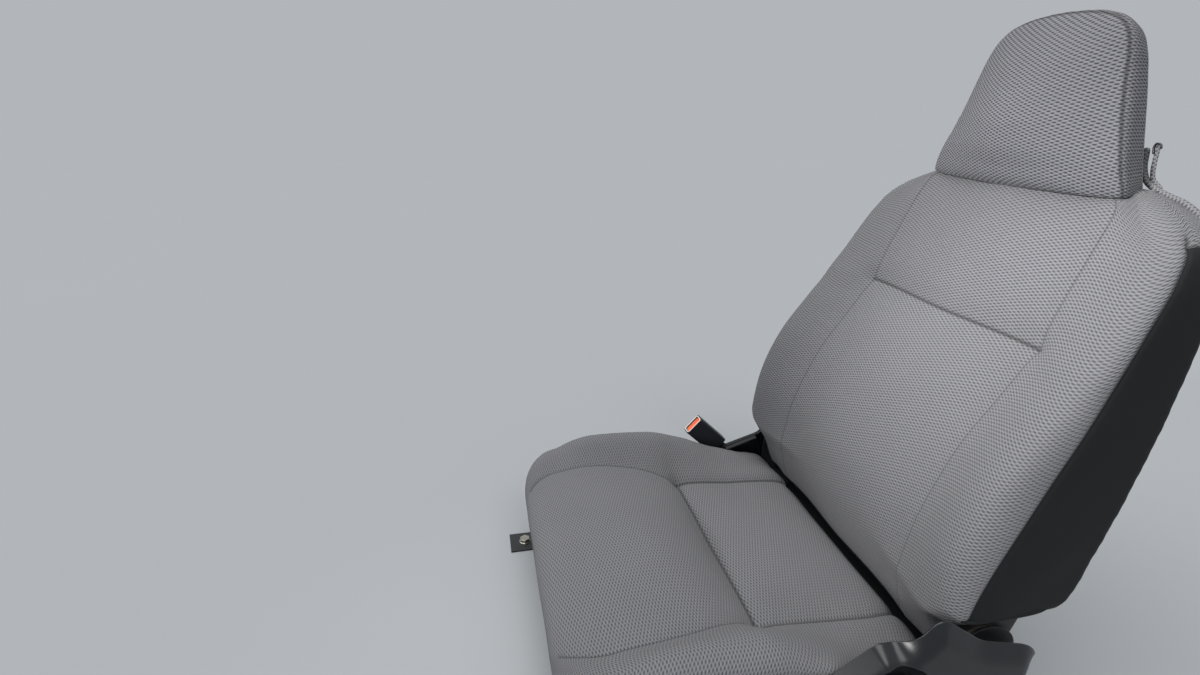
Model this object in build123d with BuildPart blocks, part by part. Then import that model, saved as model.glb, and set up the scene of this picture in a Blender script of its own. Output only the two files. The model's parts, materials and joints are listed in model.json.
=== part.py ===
"""Front seat of a small car, on its slide rails, in millimetres.

The seat faces -Y and +Z is up. The origin is the centre of the four floor bolts,
on the floor plane. +X is the outboard (door) side, -X the inboard (buckle) side.
"""
import os
from math import atan2, cos, degrees, radians, sin

from build123d import *

# Overall lay-out
bite_y = 142.0            # bite line, where the cushion meets the backrest, behind the origin
pivot_y = bite_y + 38.0   # recliner axis
pivot_z = 118.0
clearance = 0.3           # seat of one piece on another

# Slide rails
rail_x = 200.0            # rail centre line to the seat's middle plane
rail_sheet = 2.2
lower_width = 48.0
lower_height = 24.0
lip_width = 10.0          # inward top lip of the lower rail
lip_drop = 9.0            # down-turned edge of that lip
lower_length = 510.0
lower_rear = bite_y + 118.0
lower_front = lower_rear - lower_length
upper_sheet = 2.0
upper_web_width = 20.0
upper_flange = 9.0        # outward flange, each side
upper_hook = 12.0         # up-turned edge of the flange
upper_front = bite_y - 300.0
upper_rear = bite_y + 60.0
rail_top = 60.0           # top of the upper rail above the floor
rail_seat = 5.0           # height of the bracket's web above the rail
latch_slot_pitch = 15.0
latch_slot_count = 14
latch_slot_length = 8.0
latch_slot_height = 7.0

# Feet
foot_height = 14.0        # underside of the lower rail above the floor
foot_sheet = 3.0
foot_width = 44.0
bolt_y = 289.0            # floor bolt to the origin, front and rear
bolt_hole_r = 5.5
foot_overlap = 60.0       # length under the rail

# Seat frame
bracket_x = 238.0         # inner face of the recliner bracket
bracket_sheet = 3.0
bracket_boss_r = 38.0
bracket_low = 48.0        # lower edge of the bracket's web
flange_reach = 330.0      # bracket's side flange in front of the bite line
flange_front = bite_y - flange_reach
pan_sheet = 2.0
side_gap = 4.0            # pan to the bracket
pan_lip = 5.0             # down-turned front edge, clear of the slide bar
pan_length = 254.0
pan_rear = bite_y - 150.0
pan_front = pan_rear - pan_length
cross_tube_r = 8.0
cross_tube_y = bite_y - 20.0
spring_wire_r = 1.6
spring_count = 4
spring_pitch = 72.0
spring_half_width = 22.0
spring_turns = 5

# Slide bar and latches
bar_r = 5.0
bar_reach = 15.0          # in front of the pan's lip
bar_front_y = pan_front - bar_reach
bar_z = 50.0
bar_half_width = 96.5
bar_bend = 15.0           # bevel of its two corners
bar_rail_gap = 8.0        # bar's leg to the lower rail
latch_y = bite_y - 225.0
latch_height = 12.0
latch_length = 46.0

# Cushion
cushion_bottom = rail_top + bracket_sheet + pan_sheet + clearance
seam_x = 151.0            # seams of the sunk middle to the middle plane, cushion and backrest
bolster_slope = 0.7       # rise of the bolsters beside it, to their width

# Backrest
hem_z = 172.0
neck_z = 598.0            # top of the backrest pad, under the headrest
neck_half = 150.0
neck_rear_half = 124.0    # rear of the headrest at the neck
arm_x = 228.0             # inner face of the backrest arm
arm_sheet = 3.0
arm_boss_r = 34.0
arm_top_z = 330.0
arm_top_front = bite_y + 96.0
arm_top_rear = bite_y + 126.0
arm_flare = 18.0          # how far the arm's rear edge stands out at the hem
apron_gap = 6.0           # apron's end to the arm
apron_r = 38.0            # the apron's reach from the recliner axis
rod_r = 7.0
disc_rim = 2.0            # arm's boss outside the disc
disc_sheet = 4.0
pin_r = 9.0
pin_fit = 0.3
back_tube_r = 10.0
back_tube_y = pivot_y + 34.0
back_tube_z = hem_z - 16.0

# Shields
shield_wall = 2.5
shield_inner_x = 250.6
shield_depth = 21.4
shield_outer_x = shield_inner_x + shield_depth
shield_bevel = 8.0        # of the outer edge
shield_tip_x = 262.3      # the shield stays outside this beside the backrest
scoop_y = bite_y - 88.0
scoop_z = 118.0
scoop_r = 40.0
scoop_depth = 11.0
lever_plate_x = 251.2
lever_sheet = 3.0
lever_grip_x = 263.2      # the grip's inner face, in the scoop
lever_grip = 58.0
lever_grip_height = 16.0
lever_grip_depth = 14.0
inner_shield_depth = 7.0
ledge_reach = 9.0         # the inboard shield's lip over the cushion's edge
post_r = 4.5              # screw posts that carry the shields
front_post_y = 6.0        # behind the bite line
rear_post_y = 26.0        # behind the recliner axis

# Buckle
buckle_width = 36.0
buckle_thick = 20.0
buckle_length = 66.0
buckle_x = 270.0
buckle_angle = 43.8       # the buckle's lean from the horizontal, forward and up
anchor_y = bite_y - 22.0
anchor_z = 56.0
strap_length = 62.0
strap_width = 22.0
strap_sheet = 3.0
button_depth = 14.0


def save(part, label):
    """Label a finished piece and write its STEP file."""
    part.label = label
    export_step(part, f"parts/{label}.step")


def bolstered(half, crest, middle, bevel, drop):
    """Give a padded face's points across the seat: bevel, bolster, slope, sunk middle and back again.

    Every section has the same bevel and the same slope, so that the faces between sections are flat.
    """
    seam = min(seam_x, half - bevel - 8)
    crest_start = seam + abs(crest - middle) / bolster_slope
    one_side = [(half, crest + drop), (half - bevel, crest), (crest_start, crest), (seam, middle)]
    return one_side + [(-x, height) for x, height in reversed(one_side)]


def faceted(rings):
    """Close a solid over rings of points, with one flat face between each two neighbouring edges."""
    faces = [Face(Wire.make_polygon(ring)) for ring in (rings[0], rings[-1])]
    for ring, following in zip(rings, rings[1:]):
        for last in range(-1, len(ring) - 1):
            corners = (ring[last], ring[last + 1], following[last + 1], following[last])
            faces.append(Face(Wire.make_polygon(corners)))
    return Solid(Shell(faces))


def sides():
    """Yield the outboard and inboard side: its name and its sign along X."""
    yield "outboard", 1
    yield "inboard", -1


os.makedirs("parts", exist_ok=True)

# Lower rails: C-section with inward lips, and a row of latch slots in the inner wall
lower_top = foot_height + lower_height
for name, side in sides():
    with BuildPart() as lower_rail:
        with BuildSketch(Plane.XZ.offset(-lower_front)) as lower_section:
            half = lower_width / 2
            t = rail_sheet
            with BuildLine():
                Polyline(
                    (-half, foot_height), (half, foot_height), (half, lower_top),
                    (half - t - lip_width, lower_top), (half - t - lip_width, lower_top - lip_drop),
                    (half - lip_width, lower_top - lip_drop), (half - lip_width, lower_top - t),
                    (half - t, lower_top - t), (half - t, foot_height + t),
                    (t - half, foot_height + t), (t - half, lower_top - t),
                    (lip_width - half, lower_top - t), (lip_width - half, lower_top - lip_drop),
                    (t + lip_width - half, lower_top - lip_drop), (t + lip_width - half, lower_top),
                    (-half, lower_top), close=True,
                )
            make_face()
        extrude(amount=lower_front - lower_rear)
        slot_face = Plane(origin=(-side * half, 0, foot_height + lower_height / 2), x_dir=(0, 1, 0),
                          z_dir=(side, 0, 0))
        with BuildSketch(slot_face):
            first = latch_y - latch_slot_pitch * (latch_slot_count - 1) / 2
            with Locations([(first + i * latch_slot_pitch, 0) for i in range(latch_slot_count)]):
                Rectangle(latch_slot_length, latch_slot_height)
        extrude(amount=t + 0.1, both=True, mode=Mode.SUBTRACT)
    save(lower_rail.part.moved(Location((side * rail_x, 0, 0))), f"lower_rail_{name}")

# Upper rails: an inverted channel whose flanges hook under the lower rail's lips
flange_z = foot_height + rail_sheet + clearance
for name, side in sides():
    with BuildPart() as upper_rail:
        with BuildSketch(Plane.XZ.offset(-upper_front)):
            web = upper_web_width / 2
            t = upper_sheet
            hook = web + upper_flange
            with BuildLine():
                Polyline(
                    (-web, rail_top), (web, rail_top), (web, flange_z + t),
                    (hook - t, flange_z + t), (hook - t, flange_z + upper_hook),
                    (hook, flange_z + upper_hook), (hook, flange_z), (web - t, flange_z),
                    (web - t, rail_top - t), (t - web, rail_top - t), (t - web, flange_z),
                    (-hook, flange_z), (-hook, flange_z + upper_hook),
                    (t - hook, flange_z + upper_hook), (t - hook, flange_z + t),
                    (-web, flange_z + t), close=True,
                )
            make_face()
        extrude(amount=upper_front - upper_rear)
    save(upper_rail.part.moved(Location((side * rail_x, 0, 0))), f"upper_rail_{name}")

# Feet: a bolted plate on the floor, a riser and a tab under the rail
for end, sign, rail_end in (("front", -1, lower_front), ("rear", 1, lower_rear)):
    plate_end = sign * (bolt_y + 24)
    riser = rail_end + sign * 6
    tab_end = rail_end - sign * foot_overlap
    for name, side in sides():
        with BuildPart() as foot:
            with BuildSketch(Plane.YZ.offset(side * rail_x - foot_width / 2)):
                with BuildLine():
                    Polyline(
                        (plate_end, 0), (riser + sign * foot_sheet, 0),
                        (riser - sign * 8, foot_height - foot_sheet),
                        (tab_end, foot_height - foot_sheet), (tab_end, foot_height),
                        (riser - sign * 8 + sign * 1.5, foot_height),
                        (riser + sign * foot_sheet * 1.5, foot_sheet),
                        (plate_end, foot_sheet), close=True,
                    )
                make_face()
            extrude(amount=foot_width)
            with Locations((side * rail_x, sign * bolt_y, foot_sheet)):
                Hole(bolt_hole_r)
        save(foot.part, f"foot_{end}_{name}")

# Recliner brackets: a flange on the upper rail and a web that carries the recliner
flange_in = rail_x - upper_web_width / 2
for name, side in sides():
    with BuildPart() as bracket:
        with BuildSketch(Plane.YZ.offset(side * bracket_x)):
            with BuildLine():
                Polyline(
                    (flange_front, rail_top), (bite_y - 60, bracket_low), (pivot_y + 36, bracket_low),
                    (pivot_y + 36, pivot_z), (pivot_y - bracket_boss_r, pivot_z),
                    (bite_y - 2, rail_top + rail_seat), (flange_front, rail_top + rail_seat), close=True,
                )
            make_face()
            with Locations((pivot_y, pivot_z)):
                Circle(bracket_boss_r)
                Circle(pin_r + pin_fit, mode=Mode.SUBTRACT)
        extrude(amount=side * bracket_sheet)
        with BuildSketch(Plane.XY.offset(rail_top)):
            with BuildLine():
                Polyline(
                    (side * flange_in, flange_front), (side * (bracket_x + bracket_sheet), flange_front),
                    (side * (bracket_x + bracket_sheet), upper_rear), (side * flange_in, upper_rear),
                    close=True,
                )
            make_face()
        extrude(amount=bracket_sheet)
    save(bracket.part, f"recliner_bracket_{name}")

# Seat pan: the stamped front of the cushion support, with a down-turned front edge
pan_z = rail_top + bracket_sheet
with BuildPart() as pan:
    with BuildSketch(Plane.YZ.offset(side_gap - bracket_x)):
        with BuildLine():
            Polyline(
                (pan_front, pan_z + pan_sheet), (pan_rear, pan_z + pan_sheet), (pan_rear, pan_z),
                (pan_front + pan_sheet, pan_z), (pan_front + pan_sheet, pan_z - pan_lip),
                (pan_front, pan_z - pan_lip), close=True,
            )
        make_face()
    extrude(amount=2 * (bracket_x - side_gap))
save(pan.part, "seat_pan")

# Rear cross tube between the upper rails
with BuildPart() as cross_tube:
    with BuildSketch(Plane.YZ.offset(-flange_in)):
        with Locations((cross_tube_y, rail_top - cross_tube_r - 0.5)):
            Circle(cross_tube_r)
            Circle(cross_tube_r - 2, mode=Mode.SUBTRACT)
    extrude(amount=2 * flange_in)
save(cross_tube.part, "rear_cross_tube")

# Cushion springs: zigzag wires from the pan's rear edge to the cross tube
spring_z = pan_z - spring_wire_r
spring_start = pan_rear - 18
spring_end = cross_tube_y
with BuildPart() as springs:
    for i in range(spring_count):
        x0 = (i - (spring_count - 1) / 2) * spring_pitch
        step = (spring_end - spring_start) / (spring_turns + 1)
        points = [(x0, spring_start)]
        for k in range(spring_turns):
            sign = 1 if k % 2 else -1
            points += [(x0 + sign * spring_half_width, spring_start + (k + 0.6) * step),
                       (x0 + sign * spring_half_width, spring_start + (k + 1.4) * step)]
        points += [(x0, spring_end)]
        with BuildLine(Plane.XY.offset(spring_z)) as spring_path:
            Polyline(*points)
        with BuildSketch(Plane(origin=spring_path.line @ 0, z_dir=spring_path.line % 0)):
            RegularPolygon(spring_wire_r, 6)
        sweep(path=spring_path.line, transition=Transition.RIGHT)
save(springs.part, "cushion_springs")

# Slide bar: a bent rod across the front, with spread legs that reach the two latches
leg_x = rail_x - lower_width / 2 - bar_rail_gap
with BuildPart() as slide_bar:
    with BuildLine(Plane.XY.offset(bar_z)) as bar_path:
        Polyline(
            (-leg_x, latch_y), (-bar_half_width - bar_bend / 2, bar_front_y + bar_bend),
            (-bar_half_width + bar_bend, bar_front_y), (bar_half_width - bar_bend, bar_front_y),
            (bar_half_width + bar_bend / 2, bar_front_y + bar_bend), (leg_x, latch_y),
        )
    with BuildSketch(Plane(origin=bar_path.line @ 0, z_dir=bar_path.line % 0)):
        Circle(bar_r)
    sweep(path=bar_path.line, transition=Transition.RIGHT)
save(slide_bar.part, "slide_bar")

# Slide latches: a block on the upper rail's web that holds the end of the bar's leg
latch_reach = flange_in - leg_x - bar_r - clearance
for name, side in sides():
    with BuildPart() as latch:
        with BuildSketch(Plane.YZ.offset(side * flange_in)):
            with Locations((latch_y + latch_length / 2 - latch_height / 2, bar_z)):
                RectangleRounded(latch_length, latch_height, 3)
        extrude(amount=-side * latch_reach)
    save(latch.part, f"slide_latch_{name}")

# Cushion: sections across the seat, from front to rear, where it slopes down under the backrest
# Columns: y from the bite line, underside, bolster crest, middle, half width
cushion_sections = [
    (-428.0, 96.0, 128.0, 126.0, 204.0),
    (-400.0, 66.0, 154.0, 150.0, 246.0),
    (-310.0, 0.0, 172.0, 160.0, 250.0),
    (-212.0, 0.0, 168.0, 138.0, 250.0),
    (-187.0, 0.0, 161.0, 120.0, 250.0),
    (-110.0, 0.0, 128.0, 112.0, 250.0),
    (-6.0, 0.0, 99.0, 97.0, 236.0),
    (12.0, 0.0, 80.0, 74.0, 226.0),
]
cushion_rings = []
for y, low, crest, middle, half in cushion_sections:
    low = max(low, cushion_bottom)
    outline = bolstered(half, crest, middle, bevel=24, drop=-14) + [(-half, low), (half, low)]
    cushion_rings.append([(x, bite_y + y, z) for x, z in outline])
with BuildPart() as cushion:
    add(faceted(cushion_rings))
save(cushion.part, "cushion_pad")

# Backrest: sections from the hem to the neck
# Columns: z, half width, bolster crest y, middle y, rear y, from the bite line
back_sections = [
    (hem_z, 257.0, -31.0, -16.0, 112.0),
    (300.0, 256.0, -8.0, 13.0, 153.0),
    (437.0, 245.0, 81.0, 101.0, 193.0),
    (530.0, 233.0, 133.0, 136.0, 216.0),
    (572.0, 208.0, 156.0, 158.0, 226.0),
    (neck_z, neck_half, 176.0, 177.0, 228.0),
]
back_corner = 14.0        # bevel of the rear corners in plan
back_rings = []
for z, half, crest, middle, rear in back_sections:
    outline = bolstered(half, crest, middle, bevel=30, drop=25) + [
        (-half, rear - back_corner), (back_corner - half, rear),
        (half - back_corner, rear), (half, rear - back_corner),
    ]
    back_rings.append([(x, bite_y + y, z) for x, y in outline])
with BuildPart() as back_pad:
    add(faceted(back_rings))
    apron_half = arm_x - apron_gap
    with BuildSketch(Plane.YZ.offset(-apron_half)):
        with BuildLine():
            Polyline(
                (bite_y - 10, hem_z + 5), (pivot_y - apron_r, pivot_z), (bite_y + 5, pivot_z - 21),
                (bite_y + 15, pivot_z - 30), (bite_y + 24, pivot_z - 30), (bite_y + 24, hem_z + 5),
                close=True,
            )
        make_face()
    extrude(amount=2 * apron_half)
    for name, side in sides():
        with BuildSketch(Plane.YZ.offset(side * (arm_x - clearance))):
            with BuildLine():
                Polyline(
                    (pivot_y - arm_boss_r - 1, hem_z - 20), (pivot_y - arm_boss_r - 1, arm_top_z * 0.62),
                    (arm_top_front - 4, arm_top_z + clearance),
                    (arm_top_rear + clearance, arm_top_z + clearance),
                    (pivot_y + arm_boss_r + arm_flare + 6, hem_z - 20), close=True,
                )
            make_face()
        extrude(amount=side * (arm_sheet + 2 * clearance), mode=Mode.SUBTRACT)
save(back_pad.part, "back_pad")

# Headrest: its outline seen from the front narrows to the rear, within its outline seen from the side
# Columns: z, half width in front, half width at the rear, front y, rear y, from the bite line
head_stations = [
    (neck_z + clearance, 142.0, neck_rear_half, 161.0, 214.0),
    (652.0, 126.0, 118.0, 153.0, 213.0),
    (714.0, 104.0, 101.0, 160.0, 213.0),
    (760.0, 84.0, 84.0, 176.0, 212.0),
    (783.0, 50.0, 52.0, 192.0, 210.0),
]
with BuildPart() as head_pad:
    front_y = bite_y + min(front for *_, front, rear in head_stations)
    rear_y = bite_y + max(rear for *_, rear in head_stations)
    for column, y in ((1, front_y), (2, rear_y)):
        with BuildSketch(Plane.XZ.offset(-y)):
            with BuildLine():
                one_side = [(row[column], row[0]) for row in head_stations]
                Polyline(*one_side, *[(-x, z) for x, z in reversed(one_side)], close=True)
            make_face()
    loft(ruled=True)
    with BuildSketch(Plane.YZ.offset(-neck_half)):
        with BuildLine():
            fronts = [(bite_y + front, z) for z, *_, front, rear in head_stations]
            rears = [(bite_y + rear, z) for z, *_, rear in head_stations]
            Polyline(*fronts, *reversed(rears), close=True)
        make_face()
    extrude(amount=2 * neck_half, mode=Mode.INTERSECT)
save(head_pad.part, "head_pad")

# Backrest arms, recliner discs, the rod between them and the backrest's lower tube
for name, side in sides():
    with BuildPart() as arm:
        with BuildSketch(Plane.YZ.offset(side * arm_x)):
            with BuildLine():
                Polyline(
                    (pivot_y - arm_boss_r, pivot_z), (pivot_y - arm_boss_r + 4, arm_top_z * 0.6),
                    (arm_top_front, arm_top_z), (arm_top_rear, arm_top_z),
                    (pivot_y + arm_boss_r + arm_flare, hem_z), (pivot_y + arm_boss_r, pivot_z), close=True,
                )
            make_face()
            with Locations((pivot_y, pivot_z)):
                Circle(arm_boss_r)
                Circle(rod_r, mode=Mode.SUBTRACT)
        extrude(amount=side * arm_sheet)
    save(arm.part, f"back_arm_{name}")
    with BuildPart() as disc:
        with BuildSketch(Plane.YZ.offset(side * (arm_x + arm_sheet))):
            with Locations((pivot_y, pivot_z)):
                Circle(arm_boss_r - disc_rim)
        extrude(amount=side * disc_sheet)
        with BuildSketch(Plane.YZ.offset(side * (arm_x + arm_sheet + disc_sheet))):
            with Locations((pivot_y, pivot_z)):
                Circle(pin_r)
        extrude(amount=side * (bracket_x - arm_x - arm_sheet - disc_sheet + bracket_sheet + 2))
    save(disc.part, f"recliner_disc_{name}")

with BuildPart() as rod:
    with BuildSketch(Plane.YZ.offset(-arm_x - arm_sheet)):
        with Locations((pivot_y, pivot_z)):
            Circle(rod_r)
    extrude(amount=2 * (arm_x + arm_sheet))
save(rod.part, "recliner_rod")

with BuildPart() as back_tube:
    with BuildSketch(Plane.YZ.offset(-arm_x)):
        with Locations((back_tube_y, back_tube_z)):
            Circle(back_tube_r)
            Circle(back_tube_r - 2, mode=Mode.SUBTRACT)
    extrude(amount=2 * arm_x)
save(back_tube.part, "backrest_tube")

# Screw posts that carry both shields on the recliner brackets
post_places = [(bite_y + front_post_y, 77.0), (pivot_y + rear_post_y, 82.0)]
post_start = bracket_x + bracket_sheet + clearance

# Outboard shield: a moulded shell with a wavy top edge and a round scoop for the lever
# Columns: y from the bite line, height and the corner's radius
shield_corners = [
    (-226.0, 60.0, 14.0), (-230.0, 96.0, 24.0), (-108.0, 181.0, 22.0), (-78.0, 176.0, 24.0),
    (-46.0, 208.0, 15.0), (12.0, 170.0, 60.0), (84.0, 146.0, 34.0), (84.0, 60.0, 22.0),
]
shield_points = [(bite_y + y, z) for y, z, r in shield_corners]
shield_radii = [r for y, z, r in shield_corners]
with BuildPart() as shield_hollow:
    with BuildSketch(Plane.YZ.offset(shield_inner_x)):
        with BuildLine():
            FilletPolyline(shield_points, radius=shield_radii, close=True)
        make_face()
        offset(amount=-shield_wall, mode=Mode.REPLACE)
    extrude(amount=shield_depth - shield_wall)
    chamfer(shield_hollow.faces().sort_by(Axis.X)[-1].edges(), length=shield_bevel - 0.6 * shield_wall)
with BuildPart() as shield:
    with BuildSketch(Plane.YZ.offset(shield_inner_x)):
        with BuildLine():
            FilletPolyline(shield_points, radius=shield_radii, close=True)
        make_face()
    extrude(amount=shield_depth)
    chamfer(shield.faces().sort_by(Axis.X)[-1].edges(), length=shield_bevel)
    add(shield_hollow.part, mode=Mode.SUBTRACT)
    with BuildSketch(Plane.YZ.offset(shield_outer_x - scoop_depth - shield_wall)):
        with Locations((scoop_y, scoop_z)):
            Circle(scoop_r + shield_wall)
    extrude(amount=scoop_depth + shield_wall - 1)
    with BuildSketch(Plane.YZ.offset(shield_outer_x - scoop_depth)):
        with Locations((scoop_y, scoop_z)):
            Circle(scoop_r)
    extrude(amount=scoop_depth + 1, mode=Mode.SUBTRACT)
    rim = shield.edges().filter_by(GeomType.CIRCLE).filter_by(lambda e: abs(e.radius - scoop_r) < 0.1)
    chamfer(rim.sort_by(Axis.X)[-1], length=shield_wall / 2)
    with BuildSketch(Plane.YZ.offset(shield_outer_x - scoop_depth)):
        with Locations((scoop_y, scoop_z)):
            SlotOverall(lever_grip * 0.6 + 10, 20)
    extrude(amount=shield_wall + 1, both=True, mode=Mode.SUBTRACT)
    with BuildSketch(Plane.YZ.offset(shield_inner_x - 1)):
        with Locations((bite_y + 24, 200)):
            Rectangle(172, 124)
    extrude(amount=shield_tip_x - shield_inner_x + 1, mode=Mode.SUBTRACT)
    with BuildSketch(Plane.YZ.offset(post_start)):
        with Locations(*post_places):
            Circle(post_r)
    extrude(amount=shield_outer_x - shield_wall - post_start)
save(shield.part, "side_shield_outboard")

# Recliner lever: an arm behind the shield and a grip that stands in the scoop
lever_x = bracket_x + bracket_sheet + 2 + clearance
with BuildPart() as lever:
    with BuildSketch(Plane.YZ.offset(lever_x)):
        with Locations((pivot_y, pivot_z)):
            Circle(pin_r)
    extrude(amount=lever_plate_x - lever_x)
    with BuildSketch(Plane.YZ.offset(lever_plate_x)):
        with BuildLine():
            Polyline((pivot_y, pivot_z + pin_r), (scoop_y - 6, scoop_z + 6), (scoop_y - 6, scoop_z - 6),
                     (pivot_y, pivot_z - pin_r), close=True)
        make_face()
        with Locations((pivot_y, pivot_z)):
            Circle(pin_r)
    extrude(amount=lever_sheet)
    with BuildSketch(Plane.YZ.offset(lever_plate_x)):
        with Locations((scoop_y, scoop_z)):
            Rectangle(lever_grip * 0.6, lever_grip_height * 0.6)
    extrude(amount=lever_grip_x - lever_plate_x + 1)
    with BuildSketch(Plane.YZ.offset(lever_grip_x)):
        with Locations((scoop_y, scoop_z)):
            SlotOverall(lever_grip, lever_grip_height)
    extrude(amount=lever_grip_depth)
save(lever.part, "recliner_lever")

# Inboard shield: a flat shell over the recliner, with a ledge that laps over the cushion's edge
# Columns: y from the bite line, height and the corner's radius
inner_corners = [
    (-62.0, 68.0, 6.0), (-70.0, 112.0, 3.0), (-5.0, 132.0, 24.0), (24.0, 164.0, 16.0), (62.0, 158.0, 26.0),
    (88.0, 112.0, 26.0), (60.0, 68.0, 12.0),
]
with BuildPart() as inner_shield:
    with BuildSketch(Plane.YZ.offset(-shield_inner_x)):
        with BuildLine():
            FilletPolyline([(bite_y + y, z) for y, z, r in inner_corners],
                           radius=[r for y, z, r in inner_corners], close=True)
        make_face()
    extrude(amount=-inner_shield_depth)
    offset(amount=-shield_wall, openings=inner_shield.faces().sort_by(Axis.X)[-1])
    with BuildSketch(Plane.YZ.offset(-shield_inner_x)):
        with BuildLine():
            (front_y, front_z, _), (rear_y, rear_z, _) = inner_corners[1:3]
            ledge = [(bite_y + front_y + 3, front_z), (bite_y + rear_y - 8, rear_z - 3)]
            Polyline(*ledge, *[(y, z - shield_wall) for y, z in reversed(ledge)], close=True)
        make_face()
    extrude(amount=ledge_reach)
    with BuildSketch(Plane.YZ.offset(-post_start)):
        with Locations(*post_places):
            Circle(post_r)
    extrude(amount=-(shield_inner_x + inner_shield_depth - shield_wall - post_start))
save(inner_shield.part, "side_shield_inboard")

# Buckle: anchor, strap, body and button, all in one leaning plane
lean = radians(buckle_angle)
along = Vector(0, -cos(lean), sin(lean))
anchor = Vector(-buckle_x, anchor_y, anchor_z)
with BuildPart() as buckle_anchor:
    with BuildSketch(Plane.YZ.offset(-(bracket_x + bracket_sheet))):
        with Locations((anchor_y, anchor_z)):
            Circle(9)
    extrude(amount=-(buckle_x - strap_sheet / 2 - bracket_x - bracket_sheet))
save(buckle_anchor.part, "buckle_anchor")
with BuildPart() as strap:
    with BuildSketch(Plane.YZ.offset(-(buckle_x - strap_sheet / 2))):
        strap_middle = anchor + along * (strap_length / 2)
        with Locations(Location((strap_middle.Y, strap_middle.Z, 0), 180 - buckle_angle)):
            SlotOverall(strap_length + strap_width, strap_width)
    extrude(amount=-strap_sheet)
save(strap.part, "buckle_strap")
body_start = anchor + along * (strap_length + strap_width / 2 + clearance)
body_plane = Plane(origin=body_start, x_dir=(-1, 0, 0), z_dir=along)
with BuildPart() as buckle:
    with BuildSketch(body_plane):
        RectangleRounded(buckle_thick, buckle_width, 4)
    extrude(amount=buckle_length)
    with BuildSketch(body_plane.offset(buckle_length)):
        RectangleRounded(buckle_thick - 5, buckle_width - 6, 3)
    extrude(amount=-button_depth, mode=Mode.SUBTRACT)
save(buckle.part, "buckle_body")
with BuildPart() as button:
    with BuildSketch(body_plane.offset(buckle_length - button_depth)):
        RectangleRounded(buckle_thick - 6, buckle_width - 7, 2.5)
    extrude(amount=button_depth - 2)
save(button.part, "buckle_button")

# Shoulder welt: a piped edge that comes down beside the headrest and runs along the outboard shoulder
welt_r = 3.0
welt_y = bite_y + 210.0
shoulder_half, shoulder_z = back_sections[4][1], back_sections[4][0]
welt_end_half = 220.0
welt_end_z = 551.0
welt_lift = welt_r + clearance
welt_side = neck_rear_half + welt_lift
with BuildPart() as welt:
    with BuildLine(Plane.XZ.offset(-welt_y)) as welt_path:
        Polyline(
            (welt_side - 2.5, neck_z + 42), (welt_side + 1.5, neck_z + 14),
            (welt_side + 10, neck_z + welt_lift + 1),
            (neck_half + 0.41 * welt_lift, neck_z + 0.91 * welt_lift),
            (shoulder_half + 0.8 * welt_lift, shoulder_z + 0.9 * welt_lift),
            (welt_end_half + 0.9 * welt_lift, welt_end_z + 0.6 * welt_lift),
        )
    with BuildSketch(Plane(origin=welt_path.line @ 0, z_dir=welt_path.line % 0)):
        RegularPolygon(welt_r, 8)
    sweep(path=welt_path.line, transition=Transition.RIGHT)
save(welt.part, "shoulder_welt_outboard")
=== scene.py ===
"""Cover, trim and finishes of a small car's front seat, built around its packed construction.

Everything is in metres. The seat faces -Y, +X is its outboard side and +Z is up.
"""
import json
import logging
import math
from dataclasses import dataclass, field
from enum import Enum, IntEnum

import bmesh
import bpy
import numpy as np
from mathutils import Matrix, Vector
from mathutils.kdtree import KDTree

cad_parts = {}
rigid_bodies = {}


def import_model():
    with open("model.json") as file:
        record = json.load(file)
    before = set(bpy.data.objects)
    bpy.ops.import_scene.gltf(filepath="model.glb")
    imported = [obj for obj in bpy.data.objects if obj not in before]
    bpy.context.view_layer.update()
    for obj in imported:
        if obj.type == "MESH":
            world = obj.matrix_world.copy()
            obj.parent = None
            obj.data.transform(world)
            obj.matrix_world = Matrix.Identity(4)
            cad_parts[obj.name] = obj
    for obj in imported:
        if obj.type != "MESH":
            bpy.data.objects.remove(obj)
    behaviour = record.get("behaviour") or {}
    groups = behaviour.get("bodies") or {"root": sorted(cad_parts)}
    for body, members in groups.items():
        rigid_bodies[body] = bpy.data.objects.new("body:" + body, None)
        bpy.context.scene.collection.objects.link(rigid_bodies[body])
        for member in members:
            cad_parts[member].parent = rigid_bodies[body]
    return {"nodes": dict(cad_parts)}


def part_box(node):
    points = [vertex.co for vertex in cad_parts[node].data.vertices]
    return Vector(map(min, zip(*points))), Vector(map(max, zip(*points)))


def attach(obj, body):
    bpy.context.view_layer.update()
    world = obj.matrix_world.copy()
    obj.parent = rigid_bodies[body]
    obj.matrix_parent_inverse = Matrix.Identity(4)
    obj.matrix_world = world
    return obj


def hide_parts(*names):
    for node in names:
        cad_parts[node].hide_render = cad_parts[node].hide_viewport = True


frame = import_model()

LOG = logging.getLogger("car_seat")
MM = 0.001
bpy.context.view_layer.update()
SQUARE = ((-1, -1), (1, -1), (1, 1), (-1, 1))
Socket = bpy.types.NodeSocket


class Body(Enum):
    """The bodies that a piece can ride on."""

    RAILS = "floor_rails"
    BASE = "seat_base"
    BACK = "backrest"


class Slot(Enum):
    """The material slots of the record."""

    FABRIC = "seat_fabric"
    TRIM = "black_plastic"
    FRAME = "black_steel"


class Region(IntEnum):
    """The parts of a cover, each with a finish of its own."""

    FRONT = 0
    BAND = 1
    REAR = 2
    # near-black painted shade in the bite, where cushion and backrest meet
    SHADE_TAIL = 3


@dataclass(frozen=True)
class Datum:
    """Lines of the construction that the cover is cut to, read from the frame.

    Args:
        bite_y: the line where cushion and backrest meet.
    """

    bite_y: float

    @classmethod
    def read(cls) -> "Datum":
        """Take the line from the cushion's solid, which runs on under the backrest."""
        under_backrest = 12 * MM
        return cls(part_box("cushion_pad")[1].y - under_backrest)


DATUM = Datum.read()


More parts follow.
